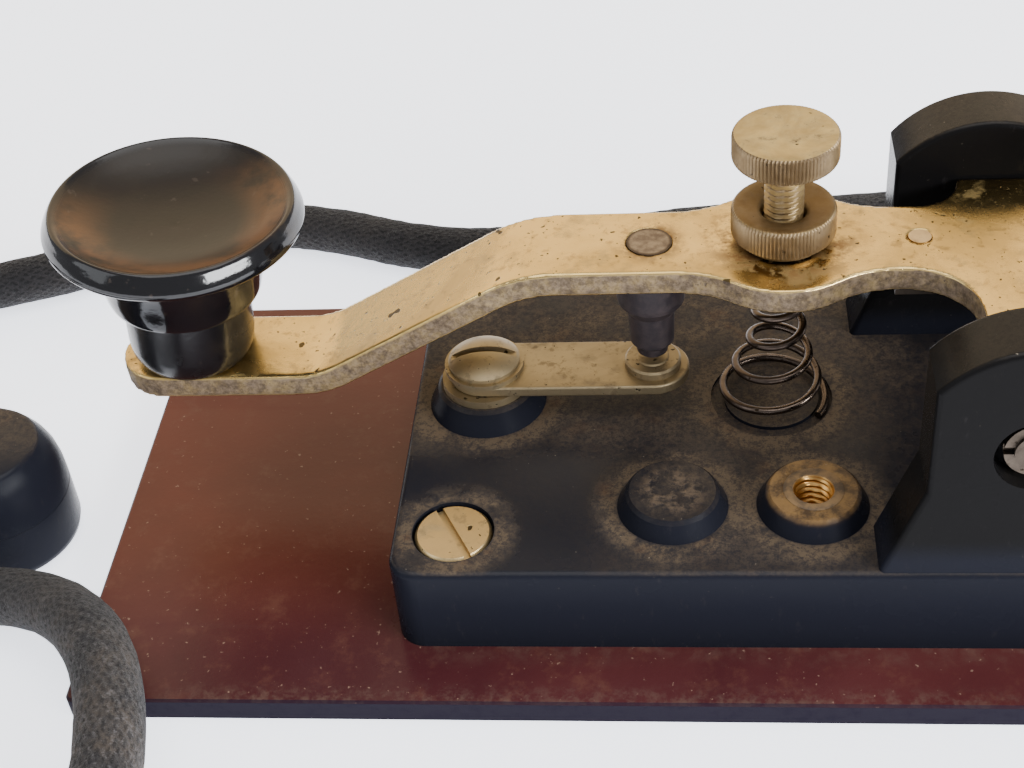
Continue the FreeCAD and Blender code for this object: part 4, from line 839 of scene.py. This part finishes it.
def dished_knob():
    """The knob turned with soft curves: thick rim, cupped underside, a step, then the stem."""
    foot, top = KNOB_FOOT, KNOB_TOP
    points = [(0, foot - 0.5, 0), (6.2, foot - 0.5, 0), (6.6, foot, 0), (7.3, foot + 0.6, 0),
              (7.8, foot + 1.6, 0), (8.0, foot + 3.2, 0)]
    points += smooth_profile([(8.0, foot + 8.8), (8.1, foot + 9.3), (8.6, foot + 9.55), (9.3, foot + 9.75),
                              (9.6, foot + 10.2), (9.85, foot + 11.2), (10.4, foot + 13.9),
                              (11.2, top - 6.2), (12.3, top - 5.0), (13.6, top - 4.2), (14.9, top - 3.6),
                              (15.65, top - 3.05), (15.9, top - 2.4), (15.66, top - 1.65),
                              (15.28, top - 0.92), (14.95, top - 0.36), (14.65, top - 0.08),
                              (14.3, top - 0.1), (13.4, top - 0.62), (11.4, top - 1.6),
                              (8.4, top - 2.6), (4.4, top - 3.3), (0, top - 3.55)], 6)
    place = (Matrix.Translation(Vector((KNOB_X, LEVER_Y, foot)) * MM)
             @ Matrix.Rotation(math.radians(KNOB_LEAN), 4, "Y")
             @ Matrix.Translation(Vector((0, 0, -foot)) * MM))
    verts, faces = lathe(points, 128, place)
    knob = new_piece("dished_knob", verts, faces, "lever_arm")
    soften(knob, 50)
    paint(knob, "knob")
    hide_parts("knob")


def plug_frame():
    """From the plug's own axes, tail along +X, to where it lies."""
    return Matrix.Translation(Vector(PLUG_NOSE) * MM) @ Matrix.Rotation(math.radians(PLUG_TURN), 4, "Z")


def ribbed_relief():
    """The tapered rubber sleeve behind the plug, with ribs."""
    start, length, mid = 23.8, 22.2, 8.2
    profile = [(0, start, 0), (4.4, start, 0), (4.4, start + 2.2, 0), (5.6, start + 2.25, 0),
               (5.9, start + 2.6, 0), (5.9, start + 4.0, 0), (5.6, start + 4.3, 0)]
    ribs, first, last = 7, start + 4.6, start + length - 1.2
    for i in range(ribs):
        z0 = first + (last - first) * i / ribs
        z1 = first + (last - first) * (i + 1) / ribs
        r = 5.55 - 1.05 * i / ribs
        profile += [(r - inset, z0 + share * (z1 - z0), 0) for inset, share in
                    ((0.55, 0.0), (0.6, 0.25), (0.1, 0.4), (0.0, 0.55), (0.1, 0.85))]
    profile += [(4.4, last + 0.3, 0), (4.45, start + length - 0.3, 0), (4.2, start + length, 0),
                (0, start + length, 0)]
    along = Matrix.Translation(Vector((0, 0, mid)) * MM) @ Matrix.Rotation(math.pi / 2, 4, "Y")
    verts, faces = lathe(profile, 56, plug_frame() @ along)
    relief = new_piece("ribbed_relief", verts, faces, "root")
    soften(relief, 45)
    paint(relief, "relief")
    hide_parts("strain_relief")


def plug_ring(inset, z, place):
    """The plug's outline seen from above, drawn in by the inset: round nose, square tail."""
    r, tail, corner = 10.0 - inset, 26.0 - min(inset, 1.2), 2.0
    points = [(r * math.cos(a), r * math.sin(a)) for a in
              (math.pi * (0.5 + i / 48) for i in range(49))]
    points += [((tail - corner) * i / 12, -r) for i in range(1, 12)]
    points += [(tail - corner + corner * math.sin(a), -r + corner - corner * math.cos(a)) for a in
               (math.pi * i / 16 for i in range(9))]
    points += [(tail, (r - corner) * (2 * i / 10 - 1)) for i in range(1, 10)]
    points += [(tail - corner + corner * math.cos(a), r - corner + corner * math.sin(a)) for a in
               (math.pi * i / 16 for i in range(9))]
    points += [((tail - corner) * (1 - i / 12), r) for i in range(1, 12)]
    return [place @ (Vector((x, y, z)) * MM) for x, y in points]


def plug_shell(name, node, steps, well=False):
    """One half of the plug, stacked from outlines; the upper one has a well for its screw."""
    place = plug_frame()
    rings = [plug_ring(inset, z, place) for inset, z in steps]
    if well:
        centre, top = place @ (Vector((1.0, 0.0, 0.0)) * MM), steps[-1][1]
        spokes = [((p - centre) * Vector((1, 1, 0))).normalized() for p in rings[-1]]
        for r, z in ((3.3, top), (3.0, top - 0.25), (3.0, top - 2.0)):
            rings.append([centre + d * r * MM + Vector((0, 0, z * MM)) for d in spokes])
    verts, faces = skin(rings)
    shell = new_piece(name, verts, faces, "root")
    soften(shell, 38)
    paint(shell, "moulding")
    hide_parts(node)


def tape_band(path, width, thick, tilt=0.0):
    """A flat tape along a path of points, its width turned by tilt from the Y axis."""
    verts, faces = [], []
    n = len(path)
    for i, p in enumerate(path):
        ahead = (path[min(i + 1, n - 1)] - path[max(i - 1, 0)]).normalized()
        across = Vector((math.sin(tilt), math.cos(tilt), 0.0))
        out = ahead.cross(across).normalized()
        for k in range(5):
            w = (k / 2 - 1) * width / 2
            for side in (0.5, -0.5):
                crown = 0.12 * (1 - (k / 2 - 1) ** 2)
                verts.append(p + across * w * MM + out * (side * thick + crown) * MM)
    for i in range(n - 1):
        a, b = i * 10, (i + 1) * 10
        for k in range(4):
            faces.append((a + 2 * k, b + 2 * k, b + 2 * k + 2, a + 2 * k + 2))
            faces.append((a + 2 * k + 1, a + 2 * k + 3, b + 2 * k + 3, b + 2 * k + 1))
        faces.append((a, a + 1, b + 1, b))
        faces.append((a + 8, b + 8, b + 9, a + 9))
    for a in (0, (n - 1) * 10):
        cap = [a, a + 2, a + 4, a + 6, a + 8, a + 9, a + 7, a + 5, a + 3, a + 1]
        faces.append(tuple(cap if a == 0 else reversed(cap)))
    return verts, faces


def coil_tape():
    """A cotton tape round the coil's bundle, knotted on top with two short ends."""
    x, y, thick = COIL_C[0] - 40.0, COIL_C[1], 0.55
    outline = [(-8.1, 3.8), (-7.4, 1.3), (-5.0, 0.35), (0.0, 0.32), (5.0, 0.35), (7.4, 1.3), (8.1, 3.8),
               (7.6, 6.6), (5.4, 9.6), (3.3, 12.9), (1.4, 14.4), (0.0, 14.6), (-1.4, 14.4), (-3.3, 12.9),
               (-5.4, 9.6), (-7.6, 6.6), (-8.1, 3.8)]
    loop = [Vector((x + a, y, b)) * MM for a, b in outline]
    smooth = []
    for a, b, c, d in zip([loop[-2]] + loop[:-1], loop, loop[1:], loop[2:] + [loop[1]]):
        for k in range(4):
            t = k / 4
            smooth.append(0.5 * (2 * b + (c - a) * t + (2 * a - 5 * b + 4 * c - d) * t * t
                                 + (3 * b - a - 3 * c + d) * t ** 3))
    smooth.append(loop[-1])
    ends = []
    for sign in (-1, 1):
        tail = [Vector((x + sign * (0.6 + 1.5 * i), y + sign * 0.35 * i,
                        15.0 + 0.35 * math.sin(0.9 * i) - 0.10 * i * i)) * MM for i in range(6)]
        ends.append(tape_band(tail, 3.6, thick, 0.35 * sign))
    lump = smooth_profile([(0, 14.4), (1.6, 14.5), (2.5, 15.1), (2.4, 15.9), (1.3, 16.3), (0, 16.35)], 4)
    knot = lathe(lump, 24, Matrix.Translation(Vector((x, y, 0)) * MM))
    verts, faces = merge(tape_band(smooth, 6.6, thick), *ends, knot)
    tie = new_piece("coil_tape", verts, faces, "root")
    soften(tie, 50)
    paint(tie, "tape")
    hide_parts("coil_tie")


ribbed_relief()
coil_tape()
plug_shell("plug_lower_half", "plug_body",
           [(2.2, 0.0), (1.0, 0.3), (0.3, 1.0), (0.0, 2.0), (0.0, 8.1), (0.1, 8.2)])
plug_shell("plug_upper_half", "plug_cover",
           [(0.1, 8.2), (0.0, 8.3), (0.1, 10.6), (0.45, 12.6), (1.1, 14.3), (1.75, 15.4), (2.1, 15.9),
            (2.35, 16.25), (2.8, 16.4)], well=True)
knurled_nut("tension_nut", "tension_lock_nut", "tension_lock", TENSION_X)
knurled_nut("gap_nut", "gap_lock_nut", "gap_lock", GAP_X)
adjusting_screw("tension_thread", "tension_screw", "tension_adjuster", TENSION_X, 31.7, 1.4)
adjusting_screw("gap_thread", "gap_screw", "gap_adjuster", GAP_X, 20.4, 1.7)
threaded_stud("stud_near", "terminal_stud_near", TERMINAL_Y[0])
threaded_stud("stud_far", "terminal_stud_far", TERMINAL_Y[1])
open_insert()
dished_knob()


# ---- lever: the CAD shape with its edges worn round --------------------------------------
def worn_lever():
    """A finer mesh of the CAD lever whose edges are softened, with uneven sides."""
    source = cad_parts["lever"]
    work = bpy.data.objects.new("worn_lever", source.data.copy())
    bpy.context.scene.collection.objects.link(work)
    remesh = work.modifiers.new("fine", "REMESH")
    remesh.mode = "VOXEL"
    remesh.voxel_size = 0.34 * MM
    smooth = work.modifiers.new("soft", "SMOOTH")
    smooth.factor = 0.5
    smooth.iterations = 4
    bpy.context.view_layer.update()
    mesh = bpy.data.meshes.new_from_object(work.evaluated_get(bpy.context.evaluated_depsgraph_get()))
    work.modifiers.clear()
    work.data = mesh
    normals = [v.normal.copy() for v in mesh.vertices]
    for v, n in zip(mesh.vertices, normals):
        side = max(0.0, 1.0 - abs(n.z) * 1.8)
        p = v.co / MM
        wear = noise.noise(p * 1.1) * 0.05 + noise.noise(p * 3.1) * 0.03
        v.co += n * (wear * side + noise.noise(p * 0.16) * 0.02) * MM
    mesh.shade_smooth()
    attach(work, "lever_arm")
    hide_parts("lever")
    paint(work, "lever")


worn_lever()


# ---- the table and the light -------------------------------------------------------------
def make_table():
    """A wide plain floor under everything."""
    verts, faces = [], []
    n, half = 24, 1.6
    for i in range(n + 1):
        for j in range(n + 1):
            verts.append((half * (2 * i / n - 1), half * (2 * j / n - 1), 0.0))
    for i in range(n):
        for j in range(n):
            a = i * (n + 1) + j
            faces.append((a, a + n + 1, a + n + 2, a + 1))
    mesh = bpy.data.meshes.new("table")
    mesh.from_pydata(verts, [], faces)
    table = bpy.data.objects.new("table", mesh)
    bpy.context.scene.collection.objects.link(table)
    paint(table, "table")


def add_light(name, place, aim, size, power, colour):
    """A rectangular area light at place, turned to face aim."""
    data = bpy.data.lights.new(name, "AREA")
    data.shape = "RECTANGLE"
    data.size, data.size_y = size
    data.energy = power
    data.color = colour
    light = bpy.data.objects.new(name, data)
    light.location = place
    light.rotation_euler = (Vector(aim) - Vector(place)).to_track_quat("-Z", "Y").to_euler()
    bpy.context.scene.collection.objects.link(light)


def make_light():
    """Soft light from above, a warm one behind, a window at the right and a little fill."""
    add_light("overhead", (0.05, -0.15, 1.0), (0, 0, 0.02), (1.0, 1.0), 7.5, (1.0, 0.985, 0.96))
    add_light("warm_back", (-0.30, 0.85, 0.58), (0, 0, 0.02), (2.6, 0.85), 9.5, (1.0, 0.73, 0.36))
    add_light("window_right", (0.62, -0.46, 0.32), (-0.02, 0, 0.03), (0.60, 0.20), 13.0, (0.96, 0.98, 1.0))
    add_light("fill_left", (-0.75, -0.35, 0.45), (0, 0, 0.02), (0.5, 0.5), 1.5, (0.92, 0.96, 1.0))
    world = bpy.data.worlds.new("studio")
    world.use_nodes = True
    back = world.node_tree.nodes["Background"]
    back.inputs["Color"].default_value = (0.92, 0.94, 1.0, 1.0)
    back.inputs["Strength"].default_value = 0.50
    bpy.context.scene.world = world


make_table()
make_light()
